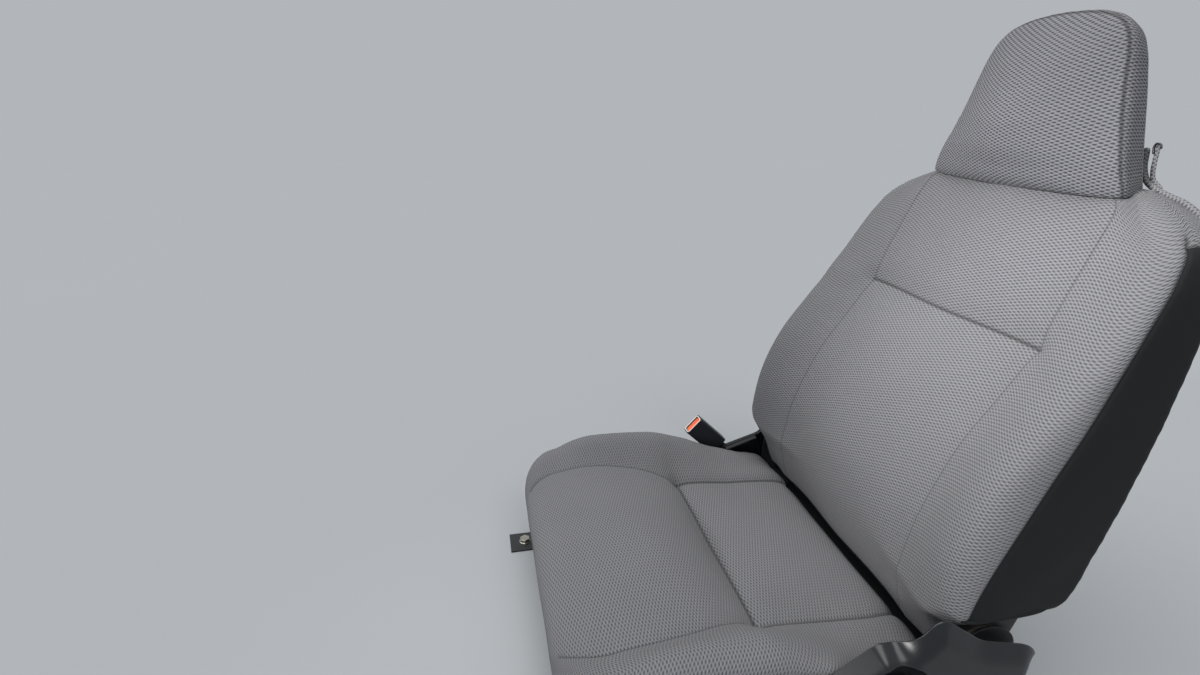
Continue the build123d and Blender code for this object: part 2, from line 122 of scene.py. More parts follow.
class Graph:
    """A material's node tree, with short calls for the nodes that the finishes share."""

    def __init__(self, name: str) -> None:
        """Start a material with only its shader and output.

        Args:
            name: the material's name.
        """
        self.material = bpy.data.materials.new(name)
        self.material.use_nodes = True
        self.tree = self.material.node_tree

    def feed(self, socket: Socket, value: object) -> None:
        """Link a socket to another, or set its value.

        Args:
            socket: an input.
            value: an output to link, or a plain value.
        """
        if isinstance(value, Socket):
            self.tree.links.new(value, socket)
        else:
            socket.default_value = value

    def node(self, kind: str, inputs: dict, **settings: object) -> bpy.types.Node:
        """Add a node, set its properties, and link or set its inputs.

        Args:
            kind: its Blender type.
            inputs: an output or a plain value for each input, by name or number.
            settings: its properties.

        Returns:
            The node.
        """
        made = self.tree.nodes.new(kind)
        for key, value in settings.items():
            setattr(made, key, value)
        for key, value in inputs.items():
            self.feed(made.inputs[key], value)
        return made

    def math(self, operation: str, first: object, second: object = 0.0) -> Socket:
        """One step of arithmetic."""
        return self.node("ShaderNodeMath", {0: first, 1: second}, operation=operation).outputs[0]

    def line(self, value: object, gain: float, start: float) -> Socket:
        """A value times a gain, plus a start."""
        return self.math("ADD", self.math("MULTIPLY", value, gain), start)

    def wave(self, value: object, length: float) -> Socket:
        """A cosine over a value, with waves of a given length."""
        return self.math("COSINE", self.math("MULTIPLY", value, math.tau / length))

    def ramp(self, value: object, low: float, high: float, start: float = 0.0) -> Socket:
        """A smooth step up to 1.

        Args:
            value: what it depends on.
            low: the value at which it begins.
            high: the value at which it ends.
            start: its height before that.

        Returns:
            The step's height.
        """
        limits = {"Value": value, "From Min": low, "From Max": high, "To Min": start, "To Max": 1.0}
        step = self.node("ShaderNodeMapRange", limits, interpolation_type="SMOOTHSTEP")
        return step.outputs["Result"]

    def mix(self, factor: object, first: object, second: object) -> Socket:
        """A mix of two colours."""
        inputs = {"Factor": factor, "A": first, "B": second}
        return self.node("ShaderNodeMix", inputs, data_type="RGBA").outputs["Result"]

    def texture(self, kind: str, output: str, inputs: dict, **settings: object) -> Socket:
        """A texture over the point's own place in metres."""
        place = self.node("ShaderNodeTexCoord", {}).outputs["Object"]
        return self.node(kind, {"Vector": place, **inputs}, **settings).outputs[output]

    def noise(self, scale: float, detail: float = 2.0) -> Socket:
        """Soft noise with a given number of waves a metre."""
        return self.texture("ShaderNodeTexNoise", "Fac", {"Scale": scale, "Detail": detail})

    def cells(self, scale: float, **settings: object) -> Socket:
        """Distance from the middles of random cells, so many a metre."""
        return self.texture("ShaderNodeTexVoronoi", "Distance", {"Scale": scale}, **settings)

    def scaled(self, colour: object, amount: object) -> Socket:
        """A colour made lighter or darker by an amount."""
        inputs = {0: colour[:3] if isinstance(colour, tuple) else colour, "Scale": amount}
        return self.node("ShaderNodeVectorMath", inputs, operation="SCALE").outputs[0]

    def bump(self, height: object, distance: float, strength: float) -> Socket:
        """Relief of a given depth in metres."""
        inputs = {"Strength": strength, "Distance": distance, "Height": height}
        return self.node("ShaderNodeBump", inputs).outputs["Normal"]

    def shade(self, **values: object) -> bpy.types.Material:
        """Set or link the shader's sockets.

        Args:
            values: an output or a plain value for each socket, named with underscores.

        Returns:
            The material.
        """
        shader = self.tree.nodes["Principled BSDF"]
        for key, value in values.items():
            self.feed(shader.inputs[key.replace("_", " ")], value)
        return self.material


@dataclass(frozen=True)
class WovenCloth:
    """Coarse seat cloth of raised yarn floats in staggered lozenges.

    Args:
        name: the material's name.
        yarn: colour of the raised floats.
        ground: colour of the gaps between them.
        relief: height of the floats.
        across: width of a lozenge along the row.
        along: height of a lozenge.
        floats: the lozenge's wave at the foot and at the top of a float.
        gaps: the same for the change from the ground's colour to the yarn's.
        twist: length of one turn of the yarn.
        fuzz: fibres a metre.
        wander: how far the rows stray.
        drift: how much the tone changes over the seat, and its least share.
        seam_shade: how bright the cloth stays along a seam, where painted shade stands for the
            seam's crease.
        shadow: distances from a seam between which that painted shade fades.
    """

    name: str = "woven_cloth"
    yarn: tuple = (0.158, 0.156, 0.166, 1)
    ground: tuple = (0.052, 0.056, 0.064, 1)
    relief: float = 0.9 * MM
    across: float = 9.5 * MM
    along: float = 4.0 * MM
    floats: tuple = (-0.72, 0.62)
    gaps: tuple = (-0.75, 0.55)
    twist: float = 0.9 * MM
    fuzz: float = 1500.0
    wander: float = 0.5 * MM
    drift: tuple = (0.16, 0.92)
    seam_shade: float = 0.42
    shadow: tuple = (0.5 * MM, 3.6 * MM)

    def material(self) -> bpy.types.Material:
        """Build the material.

        Returns:
            The material, which reads the cloth's own measure from the attribute 'cloth'.
        """
        g = Graph(self.name)
        cloth = g.node("ShaderNodeAttribute", {}, attribute_name="cloth").outputs["Vector"]
        across, along, seam = g.node("ShaderNodeSeparateXYZ", {0: cloth}).outputs
        stray = g.math("MULTIPLY", g.math("SUBTRACT", g.noise(210.0, 1.0), 0.5), self.wander)
        lozenge = g.math("MULTIPLY", g.wave(g.math("ADD", along, stray), self.along),
                         g.wave(g.math("ADD", across, stray), self.across))
        fuzz = g.noise(self.fuzz)
        ply = g.math("ADD", g.wave(g.math("ADD", across, along), self.twist), fuzz)
        height = g.math("ADD", g.ramp(lozenge, *self.floats), g.math("MULTIPLY", ply, 0.05))
        gap = g.ramp(g.math("ADD", lozenge, g.math("MULTIPLY", fuzz, 0.35)), *self.gaps)
        drift = g.line(g.noise(7.0, 3.0), *self.drift)
        # random drift in tone, times painted shade that darkens the cloth along its seams
        shade = g.math("MULTIPLY", drift, g.ramp(seam, *self.shadow, self.seam_shade))
        colour = g.scaled(g.mix(gap, self.ground, self.yarn), shade)
        return g.shade(Base_Color=colour, Roughness=0.95, Sheen_Weight=0.06, Sheen_Roughness=0.5,
                       Specular_IOR_Level=0.3, Normal=g.bump(height, self.relief, 0.8))


@dataclass(frozen=True)
class SmoothCloth:
    """Plain black cover cloth or felt, with a fine even grain.

    Args:
        name: the material's name.
        colour: its colour.
        grain: threads a metre.
        relief: depth of the grain.
        roughness: of the surface.
        sheen: weight of the fibres' sheen.
        shine: level of its reflections.
        patches: soft darker patches a metre.
    """

    name: str
    colour: tuple
    grain: float = 1400.0
    relief: float = 0.25 * MM
    roughness: float = 0.72
    sheen: float = 0.12
    shine: float = 0.5
    patches: float = 14.0

    def material(self) -> bpy.types.Material:
        """Build the material.

        Returns:
            The material.
        """
        g = Graph(self.name)
        soft = g.noise(self.patches, 3.0)
        grain = g.bump(g.noise(self.grain, 3.0), self.relief, 0.6)
        return g.shade(Base_Color=g.scaled(self.colour, g.line(soft, 0.5, 0.75)),
                       Roughness=g.line(soft, 0.12, self.roughness - 0.06),
                       Sheen_Weight=self.sheen, Specular_IOR_Level=self.shine, Normal=grain)


@dataclass(frozen=True)
class MouldedPlastic:
    """Grained moulded plastic, rubbed a little smoother and paler in places.

    Args:
        name: the material's name.
        colour: its colour.
        roughness: of the untouched surface.
        grain: pits a metre.
        relief: depth of the pits.
        shine: level of its reflections.
        rubbed: rubbed patches a metre.
        polish: how much smoother wear makes it.
        paling: how much paler, as a factor and as an amount added.
    """

    name: str
    colour: tuple
    roughness: float = 0.42
    grain: float = 1100.0
    relief: float = 0.12 * MM
    shine: float = 0.5
    rubbed: float = 30.0
    polish: float = 0.14
    paling: tuple = (1.7, 0.012)

    def material(self) -> bpy.types.Material:
        """Build the material.

        Returns:
            The material.
        """
        g = Graph(self.name)
        rubbed = g.ramp(g.noise(self.rubbed, 4.0), 0.52, 0.72)
        edge = g.ramp(g.node("ShaderNodeNewGeometry", {}).outputs["Pointiness"], 0.52, 0.60)
        wear = g.math("MULTIPLY", g.math("MAXIMUM", edge, g.math("MULTIPLY", rubbed, 0.3)), 0.6)
        factor, added = self.paling
        pale = (*(min(1.0, factor * c + added) for c in self.colour[:3]), 1)
        rough = g.math("SUBTRACT", self.roughness, g.math("MULTIPLY", wear, self.polish))
        pits = g.cells(self.grain, feature="SMOOTH_F1")
        return g.shade(Base_Color=g.mix(wear, self.colour, pale), Roughness=rough,
                       Specular_IOR_Level=self.shine, Normal=g.bump(pits, self.relief, 0.5))


@dataclass(frozen=True)
class Steel:
    """Pressed steel, zinc plated or painted.

    Args:
        name: the material's name.
        colour: its colour.
        metallic: 1 for plating, 0 for paint.
        roughness: of the surface.
        blotch: how far zinc crystals or paint runs change the tone.
        crystals: how many of them a metre.
        brushing: fine scratches a metre.
        dust: dusty patches a metre.
    """

    name: str
    colour: tuple
    metallic: float
    roughness: float
    blotch: float = 0.25
    crystals: float = 160.0
    brushing: float = 700.0
    dust: float = 40.0

    def material(self) -> bpy.types.Material:
        """Build the material.

        Returns:
            The material.
        """
        g = Graph(self.name)
        tone = g.line(g.cells(self.crystals), self.blotch, 1 - self.blotch / 2)
        dust = g.ramp(g.noise(self.dust, 4.0), 0.45, 0.75)
        return g.shade(Base_Color=g.scaled(self.colour, tone), Metallic=self.metallic,
                       Roughness=g.line(dust, 0.18, self.roughness),
                       Normal=g.bump(g.noise(self.brushing), 0.05 * MM, 0.35))


class Palette:
    """Every finish on the seat, made once."""

    def __init__(self) -> None:
        """Build the materials."""
        self.cloth = WovenCloth().material()
        # the seat's cloth with darker gaps: painted shade, so the headrest reads darker and its
        # weave more contrasty
        self.shaded_head_cloth = WovenCloth("headrest_cloth_painted_shade", (0.156, 0.154, 0.168, 1),
                                     (0.026, 0.029, 0.036, 1), 1.1 * MM).material()
        # near-black painted shade for the bite between cushion and backrest, used on the covers and
        # the rear flap
        self.tail = SmoothCloth("painted_bite_shade", (0.003, 0.0035, 0.004, 1), roughness=0.9, sheen=0.0,
                                shine=0.1).material()
        self.band = SmoothCloth("side_band", (0.0034, 0.0046, 0.0058, 1), relief=0.1 * MM,
                                roughness=0.7, sheen=0.01, shine=0.22).material()
        self.rear = SmoothCloth("rear_felt", (0.014, 0.0145, 0.016, 1), 900.0, 0.5 * MM, 0.95,
                                0.3).material()
        self.under = SmoothCloth("under_felt", (0.028, 0.027, 0.026, 1), 700.0, 0.6 * MM, 0.97,
                                 0.2).material()
        self.shield = MouldedPlastic("shield_plastic", (0.0045, 0.0055, 0.0070, 1), 0.27, 1500.0,
                                     0.012 * MM, 0.45).material()
        self.lever = MouldedPlastic("lever_plastic", (0.009, 0.010, 0.012, 1)).material()
        self.buckle = MouldedPlastic("buckle_shell", (0.0075, 0.009, 0.012, 1), 0.45, 1500.0,
                                     0.05 * MM).material()
        self.button = MouldedPlastic("release_button", (0.82, 0.145, 0.055, 1), 0.38, 1500.0,
                                     0.03 * MM).material()
        self.rim = MouldedPlastic("button_rim", (0.62, 0.60, 0.56, 1), 0.35, 1500.0,
                                  0.02 * MM).material()
        self.rail = Steel("zinc_plate", (0.42, 0.42, 0.43, 1), 1.0, 0.34).material()
        self.bar = Steel("bright_bar", (0.50, 0.50, 0.51, 1), 1.0, 0.26, 0.1).material()
        self.paint = Steel("black_coat", (0.012, 0.0125, 0.0135, 1), 0.0, 0.42, 0.4).material()
        self.spring = Steel("spring_wire", (0.24, 0.23, 0.22, 1), 1.0, 0.42, 0.2).material()
        self.bolt = Steel("bolt_plating", (0.40, 0.38, 0.33, 1), 1.0, 0.38, 0.15).material()


def hermite(s: object, start: object, leave: object, end: object, arrive: object,
            stretch: object = 1.0) -> np.ndarray:
    """A smooth curve between two values.

    Args:
        s: share of the way along it.
        start: its first value.
        leave: its slope there.
        end: its last value.
        arrive: its slope there.
        stretch: length that the slopes count over.

    Returns:
        The values at s.
    """
    return ((2 * s**3 - 3 * s**2 + 1) * start + (s**3 - 2 * s**2 + s) * stretch * leave
            + (3 * s**2 - 2 * s**3) * end + (s**3 - s**2) * stretch * arrive)


def slopes(t: np.ndarray, values: np.ndarray) -> np.ndarray:
    """Tangents of a smooth curve through values at t.

    Args:
        t: rising positions, one a row.
        values: one row of numbers for each.

    Returns:
        The rate of change at each row, flattened where a column turns back.
    """
    steepest, at_turn = 2.2, 0.4
    step = np.diff(t)[:, None]
    rate = np.diff(values, axis=0) / step
    left, right = rate[:-1], rate[1:]
    weight = step[:-1] / (step[:-1] + step[1:])
    inner = left * (1 - weight) + right * weight
    limit = steepest * np.minimum(np.abs(left), np.abs(right))
    same = np.sign(left) == np.sign(right)
    inner = np.where(same, np.clip(inner, -limit, limit), at_turn * inner)
    return np.concatenate([rate[:1], inner, rate[-1:]])


def blend_rows(table: tuple, path: tuple, spacing: float) -> np.ndarray:
    """Fill in a short table of sections with smooth in-between ones.

    Args:
        table: rows of numbers.
        path: the columns whose travel sets the spacing.
        spacing: distance between the sections given back.

    Returns:
        The sections, evenly spaced along the path.
    """
    rows = np.array(table, float)
    travel = np.linalg.norm(np.diff(rows[:, list(path)], axis=0), axis=1)
    t = np.concatenate([[0.0], np.cumsum(travel)])
    fine = np.linspace(0.0, t[-1], int(round(t[-1] / spacing)) + 1)
    tangents = slopes(t, rows)
    k = np.clip(np.searchsorted(t, fine, side="right") - 1, 0, len(t) - 2)
    h = (t[k + 1] - t[k])[:, None]
    s = ((fine - t[k]) / h[:, 0])[:, None]
    return hermite(s, rows[k], tangents[k], rows[k + 1], tangents[k + 1], h)


@dataclass(frozen=True)
class Leg:
    """One stretch of a section's outline, from one named point to the next.

    Args:
        leave: direction at its first point, across and forward.
        arrive: direction at its last point.
        count: number of columns in it.
        pull: how strongly the directions shape it.
    """

    leave: tuple
    arrive: tuple
    count: int
    pull: float = 1.0


def outline(points: list, legs: tuple) -> np.ndarray:
    """Half an outline for every section at once.

    Args:
        points: pairs of arrays, across and forward, one value a section.
        legs: the stretches between them.

    Returns:
        An array of sections by columns by 2, from the front's middle to the rear's middle.
    """
    columns = []
    places = [np.stack(pair, -1) for pair in points]
    for start, end, leg in zip(places, places[1:], legs):
        chord = np.linalg.norm(end - start, axis=1)[:, None] * leg.pull
        leave = np.array(leg.leave, float) / math.hypot(*leg.leave)
        arrive = np.array(leg.arrive, float) / math.hypot(*leg.arrive)
        columns += [hermite(share, start, leave, end, arrive, chord)
                    for share in np.arange(leg.count) / leg.count]
    return np.stack([*columns, places[-1]], 1)


def quads(ids: np.ndarray, closed: bool = True) -> list:
    """Faces between the rows and columns of a grid of point numbers.

    Args:
        ids: the numbers, row by column.
        closed: whether the last column meets the first.

    Returns:
        Four numbers for each face.
    """
    if closed:
        ids = np.concatenate([ids, ids[:, :1]], 1)
    corners = ids[:-1, :-1], ids[:-1, 1:], ids[1:, 1:], ids[1:, :-1]
    return np.stack(corners, -1).reshape(-1, 4).tolist()


def face_outwards(piece: bpy.types.Object) -> None:
    """Turn every face of a closed mesh outwards.

    Args:
        piece: the object.
    """
    bm = bmesh.new()
    bm.from_mesh(piece.data)
    bmesh.ops.recalc_face_normals(bm, faces=bm.faces)
    bm.to_mesh(piece.data)
    bm.free()


def new_piece(name: str, points: object, faces: list, materials: list, smooth: bool = True,
              closed: bool = True) -> bpy.types.Object:
    """Make an object from points and faces.

    Args:
        name: the piece's name.
        points: xyz of each point.
        faces: numbers of the points round each face.
        materials: its finishes.
        smooth: whether its facets are shaded as one surface.
        closed: whether it is a closed body, whose faces are turned outwards.

    Returns:
        The object, in the scene.
    """
    data = bpy.data.meshes.new(name)
    data.from_pydata([tuple(p) for p in points], [], faces)
    for material in materials:
        data.materials.append(material)
    if smooth:
        data.shade_smooth()
    piece = bpy.data.objects.new(name, data)
    bpy.context.scene.collection.objects.link(piece)
    if closed:
        face_outwards(piece)
    return piece


def measure_cloth(piece: bpy.types.Object, measure: np.ndarray) -> None:
    """Write the cloth's measure, which the woven finish reads.

    Args:
        piece: the cover.
        measure: for each point, its place across and along the cloth and its distance from a seam.
    """
    attributes = piece.data.attributes
    kept = attributes.get("cloth") or attributes.new("cloth", "FLOAT_VECTOR", "POINT")
    kept.data.foreach_set("vector", np.asarray(measure, np.float32).ravel())


def cover_piece(name: str, points: np.ndarray, cloth: np.ndarray, faces: list,
                finish: list, materials: list) -> tuple:
    """Make a cover whose faces may have doubled corners.

    Args:
        name: the piece's name.
        points: xyz of each point.
        cloth: the cloth's measure across and along at each point.
        faces: numbers of the points round each face.
        finish: for each face, which of the materials it has.
        materials: the finishes.

    Returns:
        The object, and a dict from each number used in faces to the mesh's own.
    """
    single = [[v for i, v in enumerate(face) if v not in face[:i]] for face in faces]
    kept = [(face, index) for face, index in zip(single, finish) if len(face) > 2]
    used = sorted({v for face, _ in kept for v in face})
    number = {v: i for i, v in enumerate(used)}
    own = [[number[v] for v in face] for face, _ in kept]
    piece = new_piece(name, points[used], own, materials)
    piece.data.polygons.foreach_set("material_index", [index for _, index in kept])
    measure_cloth(piece, np.column_stack([cloth[used], np.ones(len(used))]))
    return piece, number


def rows_of(items: object, key: str) -> np.ndarray:
    """Three numbers from each item of a mesh.

    Args:
        items: the mesh's own list.
        key: the property to read.

    Returns:
        The numbers, one row for each item.
    """
    made = np.empty(len(items) * 3, np.float32)
    items.foreach_get(key, made)
    return made.reshape(-1, 3).astype(float)


def points_of(piece: bpy.types.Object) -> np.ndarray:
    """The mesh's points as an array."""
    return rows_of(piece.data.vertices, "co")


def set_points(piece: bpy.types.Object, points: np.ndarray) -> None:
    """Write the mesh's points back."""
    piece.data.vertices.foreach_set("co", points.astype(np.float32).ravel())
    piece.data.update()


def normals_of(piece: bpy.types.Object) -> np.ndarray:
    """The mesh's point normals as an array."""
    return rows_of(piece.data.vertex_normals, "vector")


def declare(piece: bpy.types.Object, body: Body) -> None:
    """Say what a piece rides on."""
    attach(piece, body.value)


def apply_modifiers(piece: bpy.types.Object) -> None:
    """Replace the mesh by what its modifiers make of it.

    Args:
        piece: the object.
    """
    graph = bpy.context.evaluated_depsgraph_get()
    shown = piece.evaluated_get(graph)
    made = bpy.data.meshes.new_from_object(shown, preserve_all_data_layers=True, depsgraph=graph)
    piece.modifiers.clear()
    piece.data = made


def thicken(piece: bpy.types.Object, wall: float, offset: float) -> None:
    """Give an open sheet its thickness.

    Args:
        piece: the sheet.
        wall: its thickness.
        offset: -1 to grow behind its faces, 1 in front, 0 both ways.
    """
    modifier = piece.modifiers.new("wall", "SOLIDIFY")
    modifier.thickness, modifier.offset = wall, offset
    apply_modifiers(piece)
    face_outwards(piece)


def dense(line: np.ndarray, step: float) -> np.ndarray:
    """Points closely spaced along a line.

    Args:
        line: its points.
        step: the spacing.

    Returns:
        The points.
    """
    parts = [line[:1]]
    for a, b in zip(line[:-1], line[1:]):
        count = max(1, int(np.linalg.norm(b - a) / step))
        parts.append(a + (b - a) * (np.arange(1, count + 1) / count)[:, None])
    return np.concatenate(parts)


def distances(points: np.ndarray, line: np.ndarray) -> np.ndarray:
    """How far each point is from a line.

    Args:
        points: the points.
        line: the line's own points.

    Returns:
        The distances.
    """
    close = dense(line, 1.0 * MM)
    tree = KDTree(len(close))
    for i, p in enumerate(close):
        tree.insert(p, i)
    tree.balance()
    return np.array([tree.find(p)[2] for p in points])


def closest(values: np.ndarray, wanted: float) -> int:
    """Index of the value that is closest to the wanted one."""
    return int(np.argmin(np.abs(values - wanted)))


@dataclass
class Grid:
    """A closed cover as rings of columns, both halves, with its ends drawn together.

    Args:
        rings: ring by column by xyz, in metres.
        half: columns from the front's middle to the rear's middle.
        ids: a number for each ring and column, the same where two of them meet.
        cloth: the cloth's measure there, across and along.
        number: from those numbers to the mesh's own, once it is made.
    """

    rings: np.ndarray
    half: int
    ids: np.ndarray = field(init=False)
    cloth: np.ndarray = field(init=False)
    number: dict = field(init=False)

    @classmethod
    def mirrored(cls, halves: np.ndarray) -> "Grid":
        """Complete half rings with their mirror image across X.

        Args:
            halves: the outboard half of each ring.

        Returns:
            The grid.
        """
        other = halves[:, -2:0:-1].copy()
        other[:, :, 0] *= -1
        return cls(np.concatenate([halves, other], 1), halves.shape[1] - 1)

    def __post_init__(self) -> None:
        """Number the points and measure the cloth."""
        count, columns = self.rings.shape[:2]
        self.ids = np.arange(count * columns).reshape(count, columns)
        for end in (0, -1):
            for c in range(columns):
                partner = (self.half if c <= self.half else 3 * self.half) - c
                if partner > c:
                    middle = (self.rings[end, c] + self.rings[end, partner]) / 2
                    self.rings[end, c] = self.rings[end, partner] = middle
                    self.ids[end, partner] = self.ids[end, c]
        across = np.zeros((count, columns))
        steps = np.linalg.norm(np.diff(self.rings[:, :self.half + 1], axis=1), axis=2)
        across[:, 1:self.half + 1] = np.cumsum(steps, 1)
        across[:, self.half + 1:] = -across[:, self.half - 1:0:-1]
        along = np.zeros((count, columns))
        along[1:] = np.cumsum(np.linalg.norm(np.diff(self.rings, axis=0), axis=2), 0)
        self.cloth = np.stack([across, along], -1)

    def side(self, faces: bool = False) -> np.ndarray:
        """How far the columns are from the front's middle.

        Args:
            faces: whether the columns of faces are meant, not those of points.

        Returns:
            The number of columns in between, for each.
        """
        column = np.arange(2 * self.half)
        return np.minimum(column, 2 * self.half - faces - column)

    def make(self, name: str, region: np.ndarray, materials: list) -> bpy.types.Object:
        """Make the object.

        Args:
            name: the piece's name.
            region: material index for each ring and column of faces.
            materials: the finishes.

        Returns:
            The object, with its cloth measure as an attribute.
        """
        points, cloth = self.rings.reshape(-1, 3), self.cloth.reshape(-1, 2)
        finish = region.ravel().tolist()
        piece, self.number = cover_piece(name, points, cloth, quads(self.ids), finish, materials)
        return piece

    def vertex(self, ring: int, column: int) -> int:
        """The mesh's own number for a ring and column."""
        return self.number[int(self.ids[ring, column % self.ids.shape[1]])]

    def spread(self, share: np.ndarray) -> np.ndarray:
        """Carry values over to the mesh.

        Args:
            share: one value for each ring and column.

        Returns:
            One for each of the mesh's points.
        """
        made = np.zeros(len(self.number))
        for v, value in zip(self.ids.ravel().tolist(), share.ravel()):
            made[self.number[v]] = value
        return made


@dataclass(frozen=True)
class Seam:
    """A sewn line on a cover.

    Args:
        line: its points, in metres.
        depth: how far the thread pulls the cloth in.
        width: half width of the groove.
        tuck: depth of the soft dip round it.
        spread: half width of that dip.
        shade_offset: how much thinner and weaker the painted shade along its line is.
    """

    line: np.ndarray
    depth: float
    width: float
    tuck: float
    spread: float
    shade_offset: float = 0.0


class PaddedCover:
    """Shared work of the three padded covers: swelling, seams and the cloth's measure."""

    grid: Grid
    piece: bpy.types.Object
    seam: int
    edge: int
    fill: float

    FRAMES = 16
    CLOTH = {
        "vertex_group_mass": "held", "quality": 5, "mass": 0.3, "tension_stiffness": 25.0,
        "compression_stiffness": 25.0, "shear_stiffness": 12.0, "bending_stiffness": 0.6,
        "use_pressure": True, "uniform_pressure_force": 4.0,
    }
    FOLDS = ((211.0, 173.0, 241.0), (-97.0, 151.0, 83.0))
    FOLD_HEIGHT = 0.35 * MM
    FOLD_REACH = (4 * MM, 20 * MM)
    WAVES = ((31.0, -23.0, 37.0), (17.0, 41.0, -29.0))
    WAVE_HEIGHT = 0.5 * MM

    def free(self, start: int, end: int, ring: int, whole: bool) -> np.ndarray:
        """How free each point is: held along the seams and at both ends.

        Args:
            start: rings held at the start.
            end: rings held at the end.
            ring: the cross seam's ring.
            whole: whether the cross seam runs over the bolsters too.

        Returns:
            For each point, 0 where it is held and 1 where it is free.
        """
        rings, side = np.arange(len(self.grid.ids))[:, None], self.grid.side()
        at_ends, at_cross, at_seam = 8, 5, 6
        ends = np.clip(np.minimum(rings - start, len(rings) - end - rings), 0, at_ends) / at_ends
        cross = np.clip(np.abs(rings - ring), 0, at_cross) / at_cross
        cross = np.where(whole | (side < self.seam), cross, 1.0)
        away = np.clip(np.minimum(np.abs(side - self.seam), self.edge - side), 0, at_seam) / at_seam
        return self.grid.spread(away * (ends * cross))

    def swell(self, free: np.ndarray, most: float) -> None:
        """Blow the cover up a little by cloth simulation, with its seams held.

        Args:
            free: for each point, 0 where it is held and 1 where it is free.
            most: the furthest that a point may move.
        """
        drawn_in, loose = 0.35, 0.98
        tight = points_of(self.piece) - normals_of(self.piece) * (drawn_in * most * free)[:, None]
        set_points(self.piece, tight)
        held = self.piece.vertex_groups.new(name="held")
        for index, share in enumerate(free):
            if share < loose:
                held.add([index], float(1 - share), "REPLACE")
        modifier = self.piece.modifiers.new("pressure", "CLOTH")
        for key, value in self.CLOTH.items():
            setattr(modifier.settings, key, value)
        modifier.settings.effector_weights.gravity = 0.0
        modifier.collision_settings.use_collision = False
        modifier.point_cache.frame_start, modifier.point_cache.frame_end = 1, self.FRAMES
        for number in range(1, self.FRAMES + 1):
            bpy.context.scene.frame_set(number)
        apply_modifiers(self.piece)
        moved = points_of(self.piece) - tight
        length = np.linalg.norm(moved, axis=1)
        kept = np.minimum(1.0, most / np.maximum(length, 1e-9))
        set_points(self.piece, tight + moved * kept[:, None])
        bpy.context.scene.frame_set(1)
        LOG.info("%s swelled by up to %.1f mm", self.piece.name, length.max() / MM)

    def seams(self) -> list:
        """The cover's sewn lines, which each cover gives."""
        raise NotImplementedError

    def sew(self) -> None:
        """Round the facets, press the seams in and mark how far each point is from them."""
        modifier = self.piece.modifiers.new("round", "SUBSURF")
        modifier.levels = modifier.render_levels = 1
        apply_modifiers(self.piece)
        points, normals = points_of(self.piece), normals_of(self.piece)
        nearest = np.full(len(points), 1.0)
        inward = np.zeros(len(points))
        for seam in self.seams():
            away = distances(points, seam.line)
            nearest = np.minimum(nearest, away + seam.shade_offset)
            inward += seam.depth * np.exp(-(away / seam.width) ** 2)
            inward += seam.tuck * np.exp(-(away / seam.spread) ** 2)
        fold, wave = (np.sin(points @ np.array(first)) * np.sin(points @ np.array(second))
                      for first, second in (self.FOLDS, self.WAVES))
        at_seam, near_seam = (np.exp(-(nearest / reach) ** 2) for reach in self.FOLD_REACH)
        outward = self.FOLD_HEIGHT * fold * near_seam * (1 - at_seam) + self.WAVE_HEIGHT * wave
        set_points(self.piece, points - normals * (inward - outward)[:, None])
        measure = rows_of(self.piece.data.attributes["cloth"].data, "vector")
        # distance to the nearest seam, which the woven finish turns into painted seam shade
        measure[:, 2] = nearest
        measure_cloth(self.piece, measure)

    def line(self, rings: object, columns: object) -> np.ndarray:
        """Points along the grid.

        Args:
            rings: ring of each point, or of all.
            columns: column of each point, or of all.

        Returns:
            The points.
        """
        places = zip(*np.broadcast_arrays(rings, columns))
        return points_of(self.piece)[[self.grid.vertex(r, c) for r, c in places]]

    def across(self, ring: int, first: int, last: int, *sizes: float) -> Seam:
        """A seam along one ring, through the front's middle, with its sizes in millimetres."""
        return Seam(self.line(ring, range(first, last + 1)), *(size * MM for size in sizes))

    def down(self, column: int, first: int, last: int, *sizes: float) -> list:
        """The same seam down a column and its mirror image, with its sizes in millimetres."""
        return [Seam(self.line(range(first, last + 1), side), *(size * MM for size in sizes))
                for side in (column, -column)]

    def finish(self, body: Body, node: str) -> None:
        """Args:
            body: what it rides on.
            node: the piece of the construction that it replaces.
        """
        declare(self.piece, body)
        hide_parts(node)


def closing(rings: np.ndarray, axis: int, rise: float, count: int, at_start: bool) -> np.ndarray:
    """Round off one end of a stack of half rings.

    Args:
        rings: ring by column by xyz.
        axis: the axis along which front and rear come together.
        rise: how far the dome stands out along the stack.
        count: number of added rings.
        at_start: which end.

    Returns:
        The rings with the dome added.
    """
    stack_axis = 3 - axis
    end, inner = (rings[0], rings[1]) if at_start else (rings[-1], rings[-2])
    out = np.sign(end[:, stack_axis].mean() - inner[:, stack_axis].mean())
    middle = (end + end[::-1]) / 2
    added = []
    for i in range(1, count + 1):
        angle = math.pi / 2 * i / count
        ring = middle + (end - middle) * math.cos(angle)
        ring[:, stack_axis] = end[:, stack_axis] + out * rise * math.sin(angle)
        added.append(ring)
    return np.concatenate([added[::-1], rings] if at_start else [rings, added])


